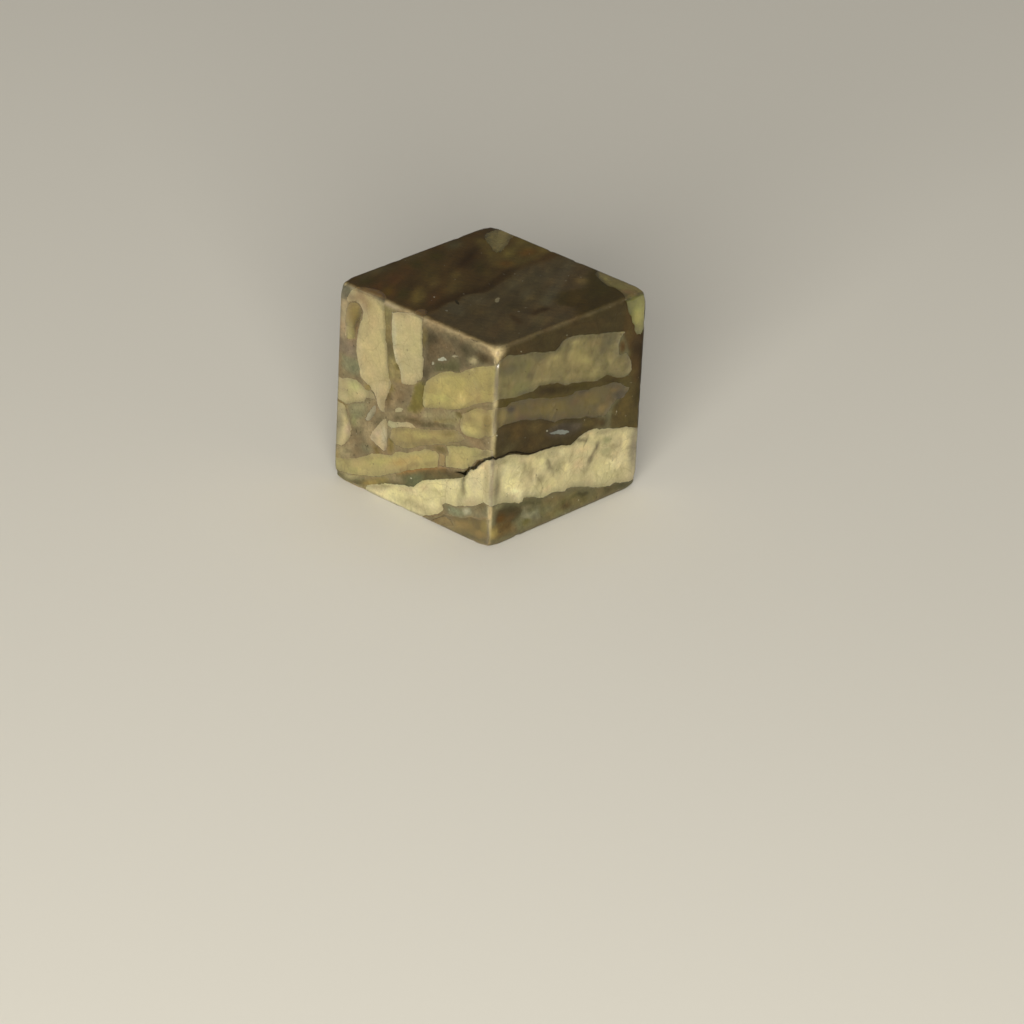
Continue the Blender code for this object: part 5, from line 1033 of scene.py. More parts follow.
for face in FACES:
    verts, edges, index = [], [], {}

    def add(p):
        key = (int(round(p[0] * 2e3)), int(round(p[1] * 2e3)))
        if key not in index:
            index[key] = len(verts)
            verts.append(Vector(p))
        return index[key]

    corners = [(-HALF, -HALF), (HALF, -HALF), (HALF, HALF), (-HALF, HALF)]
    for (u0, v0), (u1, v1) in zip(corners, corners[1:] + corners[:1]):
        key, _ = edge_key(to_cube(face, (u0 + u1) / 2, (v0 + v1) / 2))
        free = key.index(0)
        a, b = to_cube(face, u0, v0)[free], to_cube(face, u1, v1)[free]
        marks = edge_points[key] if a < b else edge_points[key][::-1]
        row = [(u0, v0)] + [(u0 + (u1 - u0) * (m - a) / (b - a), v0 + (v1 - v0) * (m - a) / (b - a)) for m in marks] + [(u1, v1)]
        ids = [add(p) for p in row]
        edges += list(zip(ids, ids[1:]))
    for _, _, _, pts in outlines[face]:
        for p, q in zip(pts, pts[1:] + pts[:1]):
            cut = clip(p, q)
            if cut is None:
                continue
            a = add(snap(face, cut[0]) if cut[2] else cut[0])
            b = add(snap(face, cut[1]) if cut[3] else cut[1])
            if a != b:
                edges.append((a, b))
    drawn = np.array([tuple(v) for v in verts])
    rng = np.random.default_rng(40 + FACE_NAMES.index(face))
    extra = []
    rows = [0.09, 0.19, 0.31, 0.45, 0.6, 0.8]
    marks = [i * 0.5 for i in range(-24, 25)] + [s * (HALF - d) for s in (-1, 1) for d in rows]
    for d in rows:
        for m in marks:
            for s in (-1, 1):
                extra += [(s * (HALF - d), m), (m, s * (HALF - d))]
    step = 0.33
    n = int(2 * (HALF - 1.05) / step)
    for i in range(n + 1):
        for j in range(n + 1):
            jitter = (rng.random(2) - 0.5) * 0.22
            extra.append((-HALF + 1.05 + (i + 0.5 * (j % 2)) * step + jitter[0], -HALF + 1.05 + j * step + jitter[1]))
    cells = {}
    for x, y in drawn:
        cells.setdefault((int(x // 0.2), int(y // 0.2)), []).append((x, y))
    for p in extra:
        if max(abs(p[0]), abs(p[1])) > HALF - 0.05:
            continue
        cx, cy = int(p[0] // 0.2), int(p[1] // 0.2)
        least = 0.055 if max(abs(p[0]), abs(p[1])) > HALF - 0.9 else 0.14
        if all(
            math.hypot(p[0] - x, p[1] - y) > least
            for i in (-1, 0, 1) for j in (-1, 0, 1) for x, y in cells.get((cx + i, cy + j), ())
        ):
            cells.setdefault((cx, cy), []).append(p)
            add(p)
    cut_verts, _, cut_faces, _, _, _ = delaunay_2d_cdt(verts, edges, [], 0, 2e-5)
    flat = np.array([tuple(v) for v in cut_verts])
    tri = np.array([tuple(f) for f in cut_faces])
    middles = flat[tri].mean(axis=1)
    area = np.cross(flat[tri[:, 1]] - flat[tri[:, 0]], flat[tri[:, 2]] - flat[tri[:, 0]])
    tri[area < 0] = tri[area < 0][:, ::-1]
    owner = np.zeros(len(tri), int)
    first = len(regions)
    for k, (name, kind, colour, pts) in enumerate(outlines[face]):
        owner[inside(middles, np.array(pts))] = first + k
        regions.append((face, name, kind, colour))
    owner[owner < first] = first
    ids = [skin_vertex(to_cube(face, u, v)) for u, v in flat]
    for (a, b, c), r in zip(tri, owner):
        a, b, c = ids[a], ids[b], ids[c]
        if len({a, b, c}) == 3:
            triangles.append([a, b, c, r])

points = np.array(skin_points)
tris = np.array(triangles)
print("skin:", len(points), "points,", len(tris), "triangles")


# ------------------------------------------------------------------------------------------ tidying the pieces of the skin
region_names = [r[1] for r in regions]
region_group = {name: k for k, name in enumerate(dict.fromkeys(region_names))}
group_of = np.array([region_group[n] for n in region_names])
kind_of_group = {}
for r in regions:
    kind_of_group.setdefault(region_group[r[1]], r[2])


def neighbours():
    """For each edge of the skin, the triangles on its two sides."""
    table = {}
    for k, (a, b, c, _) in enumerate(tris.tolist()):
        for e in ((a, b), (b, c), (c, a)):
            table.setdefault((min(e), max(e)), []).append(k)
    return table


edge_faces = neighbours()
corner_a, corner_b, corner_c = points[tris[:, 0]], points[tris[:, 1]], points[tris[:, 2]]
tri_area = np.linalg.norm(np.cross(corner_b - corner_a, corner_c - corner_a), axis=1) / 2.0
adjacent = [[] for _ in range(len(tris))]
for (a, b), (k, m) in edge_faces.items():
    length = float(np.linalg.norm(points[a] - points[b]))
    adjacent[k].append((m, length))
    adjacent[m].append((k, length))

for least in (0.10, 0.10):
    group = group_of[tris[:, 3]]
    seen = np.zeros(len(tris), bool)
    for start in range(len(tris)):
        if seen[start]:
            continue
        seen[start] = True
        island, total, border, heap = [start], tri_area[start], {}, [start]
        while heap:
            k = heap.pop()
            for m, length in adjacent[k]:
                if group[m] == group[k]:
                    if not seen[m]:
                        seen[m] = True
                        island.append(m)
                        total += tri_area[m]
                        heap.append(m)
                else:
                    border[tris[m, 3]] = border.get(tris[m, 3], 0.0) + length
        if total < least and border:
            tris[island, 3] = max(border, key=border.get)
group = group_of[tris[:, 3]]
kinds = np.array([{"metal": 0, "oxide": 0, "crack": 2}.get(kind_of_group[g], 1) for g in range(len(region_group))])
level = kinds[group]  # 0 at the polish, 1 a crystal's bed, 2 a crack's floor


# ------------------------------------------------------------------------------------------ depth below the polish
def distances(sources, allowed):
    """Length along the skin's edges from the sources to every vertex that a triangle in allowed touches."""
    links = {}
    for (a, b), ks in edge_faces.items():
        if allowed[ks[0]] or allowed[ks[1]]:
            d = float(np.linalg.norm(points[a] - points[b]))
            links.setdefault(a, []).append((b, d))
            links.setdefault(b, []).append((a, d))
    found = {v: 0.0 for v in sources}
    heap = [(0.0, v) for v in sources]
    heapq.heapify(heap)
    while heap:
        d, v = heapq.heappop(heap)
        if d > found[v]:
            continue
        for w, step in links.get(v, ()):
            if d + step < found.get(w, 1e9):
                found[w] = d + step
                heapq.heappush(heap, (d + step, w))
    return found


rim_vertices = set()
for (a, b), (k, m) in edge_faces.items():
    if group[k] != group[m]:
        rim_vertices |= {a, b}
reach = distances(rim_vertices, level > 0)

vertex_group = np.full(len(points), -1)
for (a, b, c, _), g, l in zip(tris.tolist(), group, level):
    if l == 1:
        vertex_group[[a, b, c]] = g
group_names = {g: n for n, g in region_group.items()}


def facets(p, size, seed):
    """Relief of broken mineral: flat chips at different heights, with a finer grain on them."""
    q = Vector(p) / size + Vector((seed, -seed, seed * 0.5))
    q += 0.35 * noise.noise_vector(q * 1.3)
    _, cells = noise.voronoi(q, distance_metric="DISTANCE", exponent=2.5)
    tilt = noise.cell_vector(cells[0] * 7.0)
    away = q - cells[0]
    return 0.6 * (tilt.x - 0.5) * 2.0 + 0.9 * away.dot((tilt - Vector((0.5, 0.5, 0.5))) * 2.0) + 0.25 * noise.noise(q * 3.1)


bed_depth = np.zeros(len(points))
for v in range(len(points)):
    g = vertex_group[v]
    if g < 0:
        continue
    deep, relief, size = BEDS.get(group_names[g], BED_DEFAULT)
    d = reach.get(v, 0.0)
    off_edge = smooth((HALF - sorted(abs(c) for c in points[v])[1] - 0.2) / 1.2)
    base = RIM + (deep - RIM) * (1.0 - math.exp(-d / 0.45)) * off_edge
    rough = relief * facets(points[v], size, 3.0 + 1.7 * g) * (1.0 - math.exp(-d / 0.3)) * off_edge
    bed_depth[v] = min(max(base + rough, RIM), deep * 1.8)


def wrap(p, depth):
    """From the sharp cube to the rounded one, sunk by depth along the line to the cube's middle, in mm."""
    inner = np.clip(p, -(HALF - ROUND), HALF - ROUND)
    away = p - inner
    away /= np.linalg.norm(away, axis=-1, keepdims=True)
    near = np.clip((np.abs(p) - (HALF - 2.0)) / 2.0, 0.0, 1.0)
    near = near * near * (3.0 - 2.0 * near)
    sink = np.asarray(depth) + CORNER * near.prod(axis=-1)
    return (inner + ROUND * away) * (1.0 - sink[..., None] / HALF)


# The polish isn't a perfect plane: the metal undercuts by a few microns, and the edges carry small chips.
def surface_dip(p):
    q = Vector(p)
    dip = 0.004 + 0.004 * noise.noise(q * 0.35)
    second = sorted(abs(c) for c in p)[1]
    near_edge = smooth((second - (HALF - 0.75)) / 0.6)
    if near_edge > 0.0:
        chip = noise.noise(q * 1.15 + Vector((9.0, 2.0, 4.0)))
        dip += near_edge * 0.32 * max(0.0, chip - 0.28)
    return dip


skin_dip = np.array([surface_dip(p) for p in points])
skin_top = wrap(points, skin_dip)
skin_bed = wrap(points, np.maximum(bed_depth, skin_dip + 0.05))
crack_floor = wrap(points, np.full(len(points), CRACK_DEPTH))

# ------------------------------------------------------------------------------------------ colour of every corner
STAIN_AT = {}
for face, u, v, wide, high, turn, colour, weight, region in STAINS:
    STAIN_AT.setdefault((face, region), []).append(
        (u - FACES[face][4][0], v - FACES[face][4][1], wide, high, math.radians(turn), linear(colour), weight))

METALLIC = {"metal": 0.7, "oxide": 0.12, "crack": 0.0}
# How strongly each ground edge is scuffed and lit, and its colour: a dull ground tone with a painted highlight on the
# edges that face the lamp and painted shade on the dim ones: (two axes with their signs, strength, colour).
EDGE_WEAR_AND_HIGHLIGHT = [
    ((0, 1), (1, -1), 0.95, "bevel"), ((1, -1), (2, 1), 0.80, "bevel_warm"), ((0, 1), (2, 1), 0.70, "bevel_shaded"),
    ((0, -1), (1, -1), 0.45, "bevel_warm"), ((0, 1), (1, 1), 0.45, "bevel_shaded"), ((0, -1), (1, 1), 0.45, "bevel_warm"),
    ((0, -1), (2, 1), 0.50, "bevel_warm"), ((1, 1), (2, 1), 0.45, "bevel_warm"), ((0, 1), (2, -1), 0.30, "bevel_shaded"),
    ((1, -1), (2, -1), 0.30, "bevel_warm"), ((0, -1), (2, -1), 0.30, "bevel_warm"), ((1, 1), (2, -1), 0.30, "bevel_shaded"),
]
NEAR_CORNER = np.array([HALF, -HALF, HALF])
# Paler spots along the near upright edge, where its painted highlight is stronger: (height above the base, half length,
# strength).
NEAR_EDGE_HIGHLIGHTS = [(3.2, 1.0, 0.75), (5.4, 1.0, 0.3), (7.4, 1.5, 1.0), (9.2, 1.0, 1.0), (15.0, 1.0, 0.9), (18.8, 1.2, 0.7), (23.8, 0.6, 0.5)]
# The palette holds colours as seen. These weights scale them face by face and kind by kind, to make up for the lamps
# and for the light a clear crystal swallows on its way to the bed; the result still holds painted shade: the top's
# minerals are painted darker than the same minerals on the upright faces, and the side's metal darker than the front's,
# as a painted reflection of dark surroundings.
GAIN = {
    "front": {"pale": (1.11, 1.17, 1.39), "honey": (1.14, 1.20, 1.07), "olive": (1.02, 1.0, 0.5), "smoke": (0.84, 0.90, 0.60), "metal": (0.98, 1.04, 1.15), "oxide": (0.69, 0.71, 0.76)},
    "side": {"pale": (1.19, 1.26, 1.52), "honey": (0.95, 0.90, 0.50), "olive": (1.02, 1.04, 0.72), "smoke": (0.66, 0.62, 0.3), "metal": (0.45, 0.47, 0.60), "oxide": (0.51, 0.53, 0.44)},
    "top": {"pale": (3.1, 2.3, 0.60), "honey": (2.7, 2.3, 0.8), "olive": (2.2, 2.1, 1.42), "smoke": (3.0, 2.4, 1.0), "metal": (2.2, 2.08, 1.54), "oxide": (1.03, 0.99, 0.63)},
}
for face, like in (("left", "front"), ("back", "side"), ("under", "front")):
    GAIN[face] = GAIN[like]
for weights in GAIN.values():
    weights["crack"] = (1.0, 1.0, 1.0)

# Uneven tone inside a region: (size of the blotches in mm, darker colour, paler colour, strength).
MOTTLES = {
    ("side", "band_c"): (0.9, "c_dim", "c_tan", 0.9), ("side", "band_d"): (1.3, "olive_deep", "d_tan", 0.6),
    ("side", "s_low_tan"): (0.9, "low_deep", "low_pink", 0.6), ("side", "s_low_dark"): (1.6, "bark", "umber", 0.5),
    ("front", "f_foot"): (1.2, "gold_mid", "honey", 0.5), ("front", "wedge"): (1.2, "umber", "moss", 0.4),
    ("front", "f_speckled"): (1.3, "slate_dark", "vein_dark", 0.4), ("front", "band_k"): (1.2, "gold", "straw", 0.35),
    ("top", "t_gold"): (1.2, "top_bark", "top_olive", 0.2), ("left", "l_band"): (0.9, "olive", "c_tan", 0.75),
    ("left", "l_mid"): (1.3, "gold", "straw", 0.5), ("back", "l_mid"): (1.3, "gold_dark", "tan", 0.5),
}

# How much stronger than seen the stains of a region are laid on.
PUSH = {
    ("front", "plate_a"): 0.15, ("front", "plate_a0"): 0.15, ("front", "plate_b"): 0.15, ("front", "cream"): 0.9,
    ("front", "lower_h"): 1.1, ("front", "patch_g"): 1.1, ("front", "bar"): 0.9, ("front", "metal_f"): 1.1,
    ("side", "cream"): 0.9, ("side", "band_c"): 0.75, ("side", "band_d"): 1.2, ("side", "corner"): 0.1,
    ("top", "t_olive"): 0.1, ("top", "corner"): 0.1, ("top", "metal_t"): 0.5, ("top", "t_grey"): 0.5,
}


def edge_wear_and_highlight_at(p):
    """How scuffed the stone is at a point near its edges, 0 to 1, and the colour laid there: a ground tone with painted
    highlight or shade, brightest at the near corner.
    """
    most, colour = 0.0, None
    if sorted(abs(c) for c in p)[1] < HALF - 1.0:
        return most, colour
    patchy = 0.85 + 0.6 * noise.noise(Vector(p) * 0.55 + Vector((4.0, 4.0, 4.0))) + 0.5 * noise.noise(Vector(p) * 1.9)
    for one, two, strength, name in EDGE_WEAR_AND_HIGHLIGHT:
        away = max(HALF - p[one[0]] * one[1], HALF - p[two[0]] * two[1])
        k = strength * smooth((0.54 - away) / 0.40) * min(max(patchy, 0.45), 1.0)
        if k > most:
            most, colour = k, linear(name)
            if name == "bevel":
                pale = sum(w * math.exp(-(((p[2] + HALF - z) / half) ** 2)) for z, half, w in NEAR_EDGE_HIGHLIGHTS)
                pale = min(pale, 1.0)
                colour = colour * (1 - pale) + linear("bevel_highlight") * pale
            # this edge colour is painted paler towards +x and at two spots, as highlight
            if name == "bevel_warm":
                pale = 0.8 * smooth((p[0] - 9.0) / 3.0) + 0.45 * math.exp(-(((p[0] + 7.6) / 1.8) ** 2)) + 0.3 * math.exp(-(((p[0] + 1.0) / 1.0) ** 2))
                colour = colour * (1 - pale) + linear("bevel_highlight") * pale
    # a painted highlight at the near top corner
    near = smooth((1.8 - float(np.linalg.norm(np.asarray(p) - NEAR_CORNER))) / 1.3)
    if near * 0.8 > most:
        most, colour = near * 0.8, linear("bevel_highlight")
    return most, colour


def shade(p, face, region, kind, colour):
    """Linear colour of a point of the skin, from its region's colour and the stains over it."""
    _, across, up, _, _ = FACES[face]
    u, v = float(np.dot(p, across)), float(np.dot(p, up))
    out = base = linear(colour)
    if (face, region) in MOTTLES:
        size, darker, paler, strength = MOTTLES[face, region]
        q = Vector(p) / size + Vector((7.0, 1.0, 5.0))
        tone = (noise.noise(q) + 0.6 * noise.noise(q * 2.1)) * 1.9
        k = strength * min(abs(tone), 1.0)
        out = out * (1 - k) + linear(paler if tone > 0.0 else darker) * k
    # a clear crystal's polish mirrors the floor and dulls what lies under it, so its bed is stained more strongly
    push = PUSH.get((face, region), (0.6 if face in ("side", "back") else 0.5) if kind in CRYSTALS else (0.35 if face == "top" else 1.0))
    bend = noise.noise_vector(Vector((u * 1.1, v * 1.1, 3.0 + FACE_NAMES.index(face))))
    for cu, cv, wide, high, turn, stain, weight in STAIN_AT.get((face, region), ()):
        du, dv = u - cu + 0.22 * bend.x, v - cv + 0.22 * bend.y
        x = (du * math.cos(turn) + dv * math.sin(turn)) / wide
        y = (-du * math.sin(turn) + dv * math.cos(turn)) / high
        k = weight * math.exp(-((x * x + y * y) ** 1.5))
        out = out * (1 - k) + stain * (stain.sum() / base.sum()) ** push * k
    out = out * np.array(GAIN[face][kind])
    # the ground edges: a duller tone with a painted edge highlight or shade
    k, scuffed = edge_wear_and_highlight_at(p)
    if k > 0.0:
        out = out * (1 - k) + scuffed * k
    return np.minimum(out, 0.97)


corner_colour = np.zeros((len(tris), 3, 4), np.float32)
cache, worn = {}, {}
for t, (a, b, c, r) in enumerate(tris.tolist()):
    face, name, kind, colour = regions[r]
    for i, v in enumerate((a, b, c)):
        if (v, r) not in cache:
            cache[v, r] = shade(points[v], face, name, kind, colour)
            worn[v] = edge_wear_and_highlight_at(points[v])[0]
        corner_colour[t, i, :3] = cache[v, r]
        # the fourth number is how metallic the polish is, or, on a crystal, how scuffed
        corner_colour[t, i, 3] = worn[v] if level[t] == 1 else METALLIC.get(kind, 0.0) * (1.0 - min(1.0, 1.3 * worn[v]))

# Inside the metal and the oxides one colour runs softly into the next; only small marks keep a sharp outline:
# the painted glints, specks and sheens, and the dark pit on the top.
CRISP = {"f_speck_one", "f_speck_two", "f_speck_three", "f_speck_four", "f_speck_five", "s_glint", "t_speck_one", "t_pool", "f_streak", "f_node_pale"}
crisp = np.array([n in CRISP for n in region_names])
soft = (level == 0) & ~crisp[tris[:, 3]]
total, count, beside = {}, {}, {}
for t in np.nonzero(soft)[0]:
    a, b, c = tris[t, :3].tolist()
    for i, v in enumerate((a, b, c)):
        total[v] = total.get(v, 0.0) + corner_colour[t, i].astype(float)
        count[v] = count.get(v, 0) + 1
    for p, q in ((a, b), (b, c), (c, a)):
        beside.setdefault(p, set()).add(q)
        beside.setdefault(q, set()).add(p)
spread = {v: total[v] / count[v] for v in total}
for turn in range(3):
    # on the dim top the colours run into each other furthest
    reached = {v for v in spread if turn == 0 or points[v][2] > HALF - 0.3}
    spread = {v: 0.5 * spread[v] + 0.5 * sum(spread[w] for w in beside[v]) / len(beside[v]) if v in reached else spread[v] for v in spread}
for t in np.nonzero(soft)[0]:
    for i, v in enumerate(tris[t, :3].tolist()):
        corner_colour[t, i] = spread[v]
# the metal shows through a crystal's thin brim, and next to a crack the colour is darkened as painted shade
brim = {v: spread[v][:3] for v in rim_vertices if v in spread}
inward = {}
for t in np.nonzero(level == 1)[0]:
    a, b, c = tris[t, :3].tolist()
    for p, q in ((a, b), (b, c), (c, a)):
        inward.setdefault(p, set()).add(q)
        inward.setdefault(q, set()).add(p)
for v in sorted((v for v in inward if v not in brim and reach.get(v, 9.0) < 0.9), key=lambda v: (reach.get(v, 9.0), v)):
    known = [brim[w] for w in sorted(inward[v]) if w in brim]
    if known:
        brim[v] = sum(known) / len(known)
crack_rim = set()
for t in np.nonzero(level == 2)[0]:
    crack_rim |= set(tris[t, :3].tolist())
for t in np.nonzero(level != 2)[0]:
    for i, v in enumerate(tris[t, :3].tolist()):
        if level[t] == 1 and v in brim:
            k = 0.34 * math.exp(-((reach.get(v, 0.0) / 0.42) ** 2))
            corner_colour[t, i, :3] = (1 - k) * corner_colour[t, i, :3] + k * brim[v]
        # painted shade at a crack's lip
        if v in crack_rim:
            corner_colour[t, i, :3] *= 0.45 if points[v][0] < HALF - 0.3 else 0.65


# ------------------------------------------------------------------------------------------ building meshes
def make_mesh(name, verts, faces, colours, slots, materials, smooth_angle=38.0):
    """verts in mm about the cube's middle; faces as index tuples; colours one RGBA per corner of each face, in order.
    """
    mesh = bpy.data.meshes.new(name)
    data = np.asarray(verts) * MM + np.array([0.0, 0.0, HALF * MM])
    mesh.from_pydata([tuple(p) for p in data], [], faces)
    for m in materials:
        mesh.materials.append(m)
    if slots is not None:
        mesh.polygons.foreach_set("material_index", np.asarray(slots, np.int32))
    tint = mesh.color_attributes.new("tint", "FLOAT_COLOR", "CORNER")
    tint.data.foreach_set("color", np.asarray(colours, np.float32).ravel())
    mesh.polygons.foreach_set("use_smooth", np.ones(len(faces), bool))
    mesh.update()
    mesh.set_sharp_from_angle(angle=math.radians(smooth_angle))
    obj = bpy.data.objects.new(name, mesh)
    bpy.context.scene.collection.objects.link(obj)
    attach(obj, "root")
    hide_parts(NODE)
    return obj


def build_metal(materials):
    """The nickel-iron: polished face, pocket walls, the crystals' beds and the cracks' floors, one closed shell."""
    index, verts = {}, []
    sources = (skin_top, skin_bed, crack_floor)

    def vert(v, l):
        if (v, l) not in index:
            index[v, l] = len(verts)
            verts.append(sources[l][v])
        return index[v, l]

    faces, colours, slots = [], [], []
    for t, (a, b, c, r) in enumerate(tris.tolist()):
        l = level[t]
        faces.append((vert(a, l), vert(b, l), vert(c, l)))
        colours += [corner_colour[t, 0], corner_colour[t, 1], corner_colour[t, 2]]
        slots.append(1 if l == 1 else 0)
    for t, (a, b, c, r) in enumerate(tris.tolist()):
        for i, (p, q) in enumerate(((a, b), (b, c), (c, a))):
            k, m = edge_faces[(min(p, q), max(p, q))]
            o = m if k == t else k
            high, low = level[t], level[o]
            if high >= low:
                continue
            # the wall hangs from this triangle's edge, walked backwards so that it faces the pocket
            ring = [vert(q, high), vert(p, high)]
            if high == 0 and low == 2 and (p, 1) in index:
                ring.append(vert(p, 1))
            ring.append(vert(p, low))
            ring.append(vert(q, low))
            if high == 0 and low == 2 and (q, 1) in index:
                ring.append(vert(q, 1))
            faces.append(tuple(ring))
            # a crack's walls are painted almost black and a pocket's walls a little darker, as painted shade
            wall = corner_colour[t, i].copy()
            wall[:3] *= 0.12 if low == 2 else 0.95
            colours += [wall] * len(ring)
            slots.append(0)
    return make_mesh("nickel_iron", verts, faces, colours, slots, materials)


def build_crystals(name, chosen, material):
    """Clear solids that fill the pockets of the chosen crystals, flush with the polish."""
    mine = np.array([kind_of_group[g] in chosen for g in group])
    push = {}
    for t in np.nonzero(mine)[0]:
        a, b, c = tris[t, :3]
        for p, q, far in ((a, b, c), (b, c, a), (c, a, b)):
            k, m = edge_faces[(min(p, q), max(p, q))]
            o = m if k == t else k
            if group[o] == group[t]:
                continue
            along = skin_top[q] - skin_top[p]
            along /= max(np.linalg.norm(along), 1e-9)
            inward = skin_top[far] - skin_top[p]
            inward = inward - along * inward.dot(along)
            inward /= max(np.linalg.norm(inward), 1e-9)
            for v in (p, q):
                push.setdefault((v, group[t]), []).append(inward)
    index, verts = {}, []

    def vert(v, g, low):
        key = (v, g, low)
        if key not in index:
            p = skin_bed[v] * (1.0 - 0.06 / HALF) if low else skin_top[v].copy()
            if (v, g) in push:
                d = np.sum(push[v, g], axis=0)
                size = np.linalg.norm(d)
                if size > 1e-6:
                    p = p + d / size * GAP
                if not low:
                    p = p * (1.0 - 0.012 / HALF)
            index[key] = len(verts)
            verts.append(p)
        return index[key]

    faces, colours = [], []
    for t in np.nonzero(mine)[0]:
        a, b, c = tris[t, :3].tolist()
        g = int(group[t])
        faces.append((vert(a, g, 0), vert(b, g, 0), vert(c, g, 0)))
        colours += list(corner_colour[t])
        faces.append((vert(c, g, 1), vert(b, g, 1), vert(a, g, 1)))
        colours += list(corner_colour[t][::-1])
        for i, (p, q) in enumerate(((a, b), (b, c), (c, a))):
            k, m = edge_faces[(min(p, q), max(p, q))]
            o = m if k == t else k
            if group[o] != group[t]:
                faces.append((vert(q, g, 0), vert(p, g, 0), vert(p, g, 1), vert(q, g, 1)))
                colours += [corner_colour[t, i]] * 4
    return make_mesh(name, verts, faces, colours, None, [material])


# ------------------------------------------------------------------------------------------ materials
def material(name):
    m = bpy.data.materials.new(name)
    m.use_nodes = True
    m.node_tree.nodes.clear()
    return m


class Tree:
    """Short names for the nodes of a material."""

    def __init__(self, tree):
        self.tree = tree

    def node(self, kind, **inputs):
        n = self.tree.nodes.new(kind)
        for key, value in inputs.items():
            key = key.replace("_", " ")
            if hasattr(value, "is_linked"):
                self.tree.links.new(value, n.inputs[key])
            else:
                n.inputs[key].default_value = value
        return n

    def link(self, a, b):
        self.tree.links.new(a, b)

    def math(self, operation, a, b=None, c=None):
        n = self.tree.nodes.new("ShaderNodeMath")
        n.operation = operation
        for i, value in enumerate((a, b, c)):
            if value is None:
                continue
            if hasattr(value, "is_linked"):
                self.tree.links.new(value, n.inputs[i])
            else:
                n.inputs[i].default_value = value
        return n.outputs[0]

    def mix(self, factor, a, b, blend="MIX"):
        n = self.tree.nodes.new("ShaderNodeMix")
        n.data_type, n.blend_type = "RGBA", blend
        for i, value in ((0, factor), (6, a), (7, b)):
            if hasattr(value, "is_linked"):
                self.tree.links.new(value, n.inputs[i])
            else:
                n.inputs[i].default_value = value if i == 0 else (*value, 1.0)[:4]
        return n.outputs[2]

    def ramp(self, value, *stops):
        n = self.tree.nodes.new("ShaderNodeValToRGB")
        e = n.color_ramp.elements
        while len(e) < len(stops):
            e.new(0.5)
        for k, (at, c) in enumerate(stops):
            e[k].position = at
            e[k].color = (c, c, c, 1.0) if not isinstance(c, tuple) else (*c, 1.0)
        self.tree.links.new(value, n.inputs["Fac"])
        return n.outputs["Color"]

    def noise(self, vector, scale, detail=3.0, rough=0.55, distort=0.0):
        n = self.node("ShaderNodeTexNoise", Vector=vector, Scale=scale, Detail=detail, Roughness=rough, Distortion=distort)
        return n.outputs["Fac"], n.outputs["Color"]

    def shifted(self, vector, scale, amount):
        """The coordinates pushed about by noise, so that a pattern's lines wander."""
        _, colour = self.noise(vector, scale, 2.0)
        sub = self.tree.nodes.new("ShaderNodeVectorMath")
        sub.operation = "SUBTRACT"
        self.link(colour, sub.inputs[0])
        sub.inputs[1].default_value = (0.5, 0.5, 0.5)
        mul = self.tree.nodes.new("ShaderNodeVectorMath")
        mul.operation = "SCALE"
        self.link(sub.outputs[0], mul.inputs[0])
        mul.inputs["Scale"].default_value = amount
        out = self.tree.nodes.new("ShaderNodeVectorMath")
        out.operation = "ADD"
        self.link(vector, out.inputs[0])
        self.link(mul.outputs[0], out.inputs[1])
        return out.outputs[0]

    def turned(self, vector, turn, scale):
        n = self.node("ShaderNodeMapping", Vector=vector)
        n.inputs["Rotation"].default_value = turn
        n.inputs["Scale"].default_value = scale
        return n.outputs[0]

    def drawn_out(self, vector, times=5.0):
        """Coordinates in which a pattern is stretched along the stone's grain."""
        turn = Vector((1.0, 0.0, 0.0)).rotation_difference(Vector((0.49, -0.84, 0.23))).to_euler()
        n = self.node("ShaderNodeMapping", Vector=vector)
        n.vector_type = "TEXTURE"
        n.inputs["Rotation"].default_value = turn
        n.inputs["Scale"].default_value = (times, 1.0, 1.0)
        return n.outputs[0]

    def lines(self, vector, scale, low, high):
        """1 on the thin joints between cells, 0 inside them."""
        n = self.tree.nodes.new("ShaderNodeTexVoronoi")
        n.feature = "DISTANCE_TO_EDGE"
        self.link(vector, n.inputs["Vector"])
        n.inputs["Scale"].default_value = scale
        return self.ramp(n.outputs["Distance"], (low, 1.0), (high, 0.0))

    def cells(self, vector, scale):
        n = self.tree.nodes.new("ShaderNodeTexVoronoi")
        self.link(vector, n.inputs["Vector"])
        n.inputs["Scale"].default_value = scale
        return n.outputs["Color"]


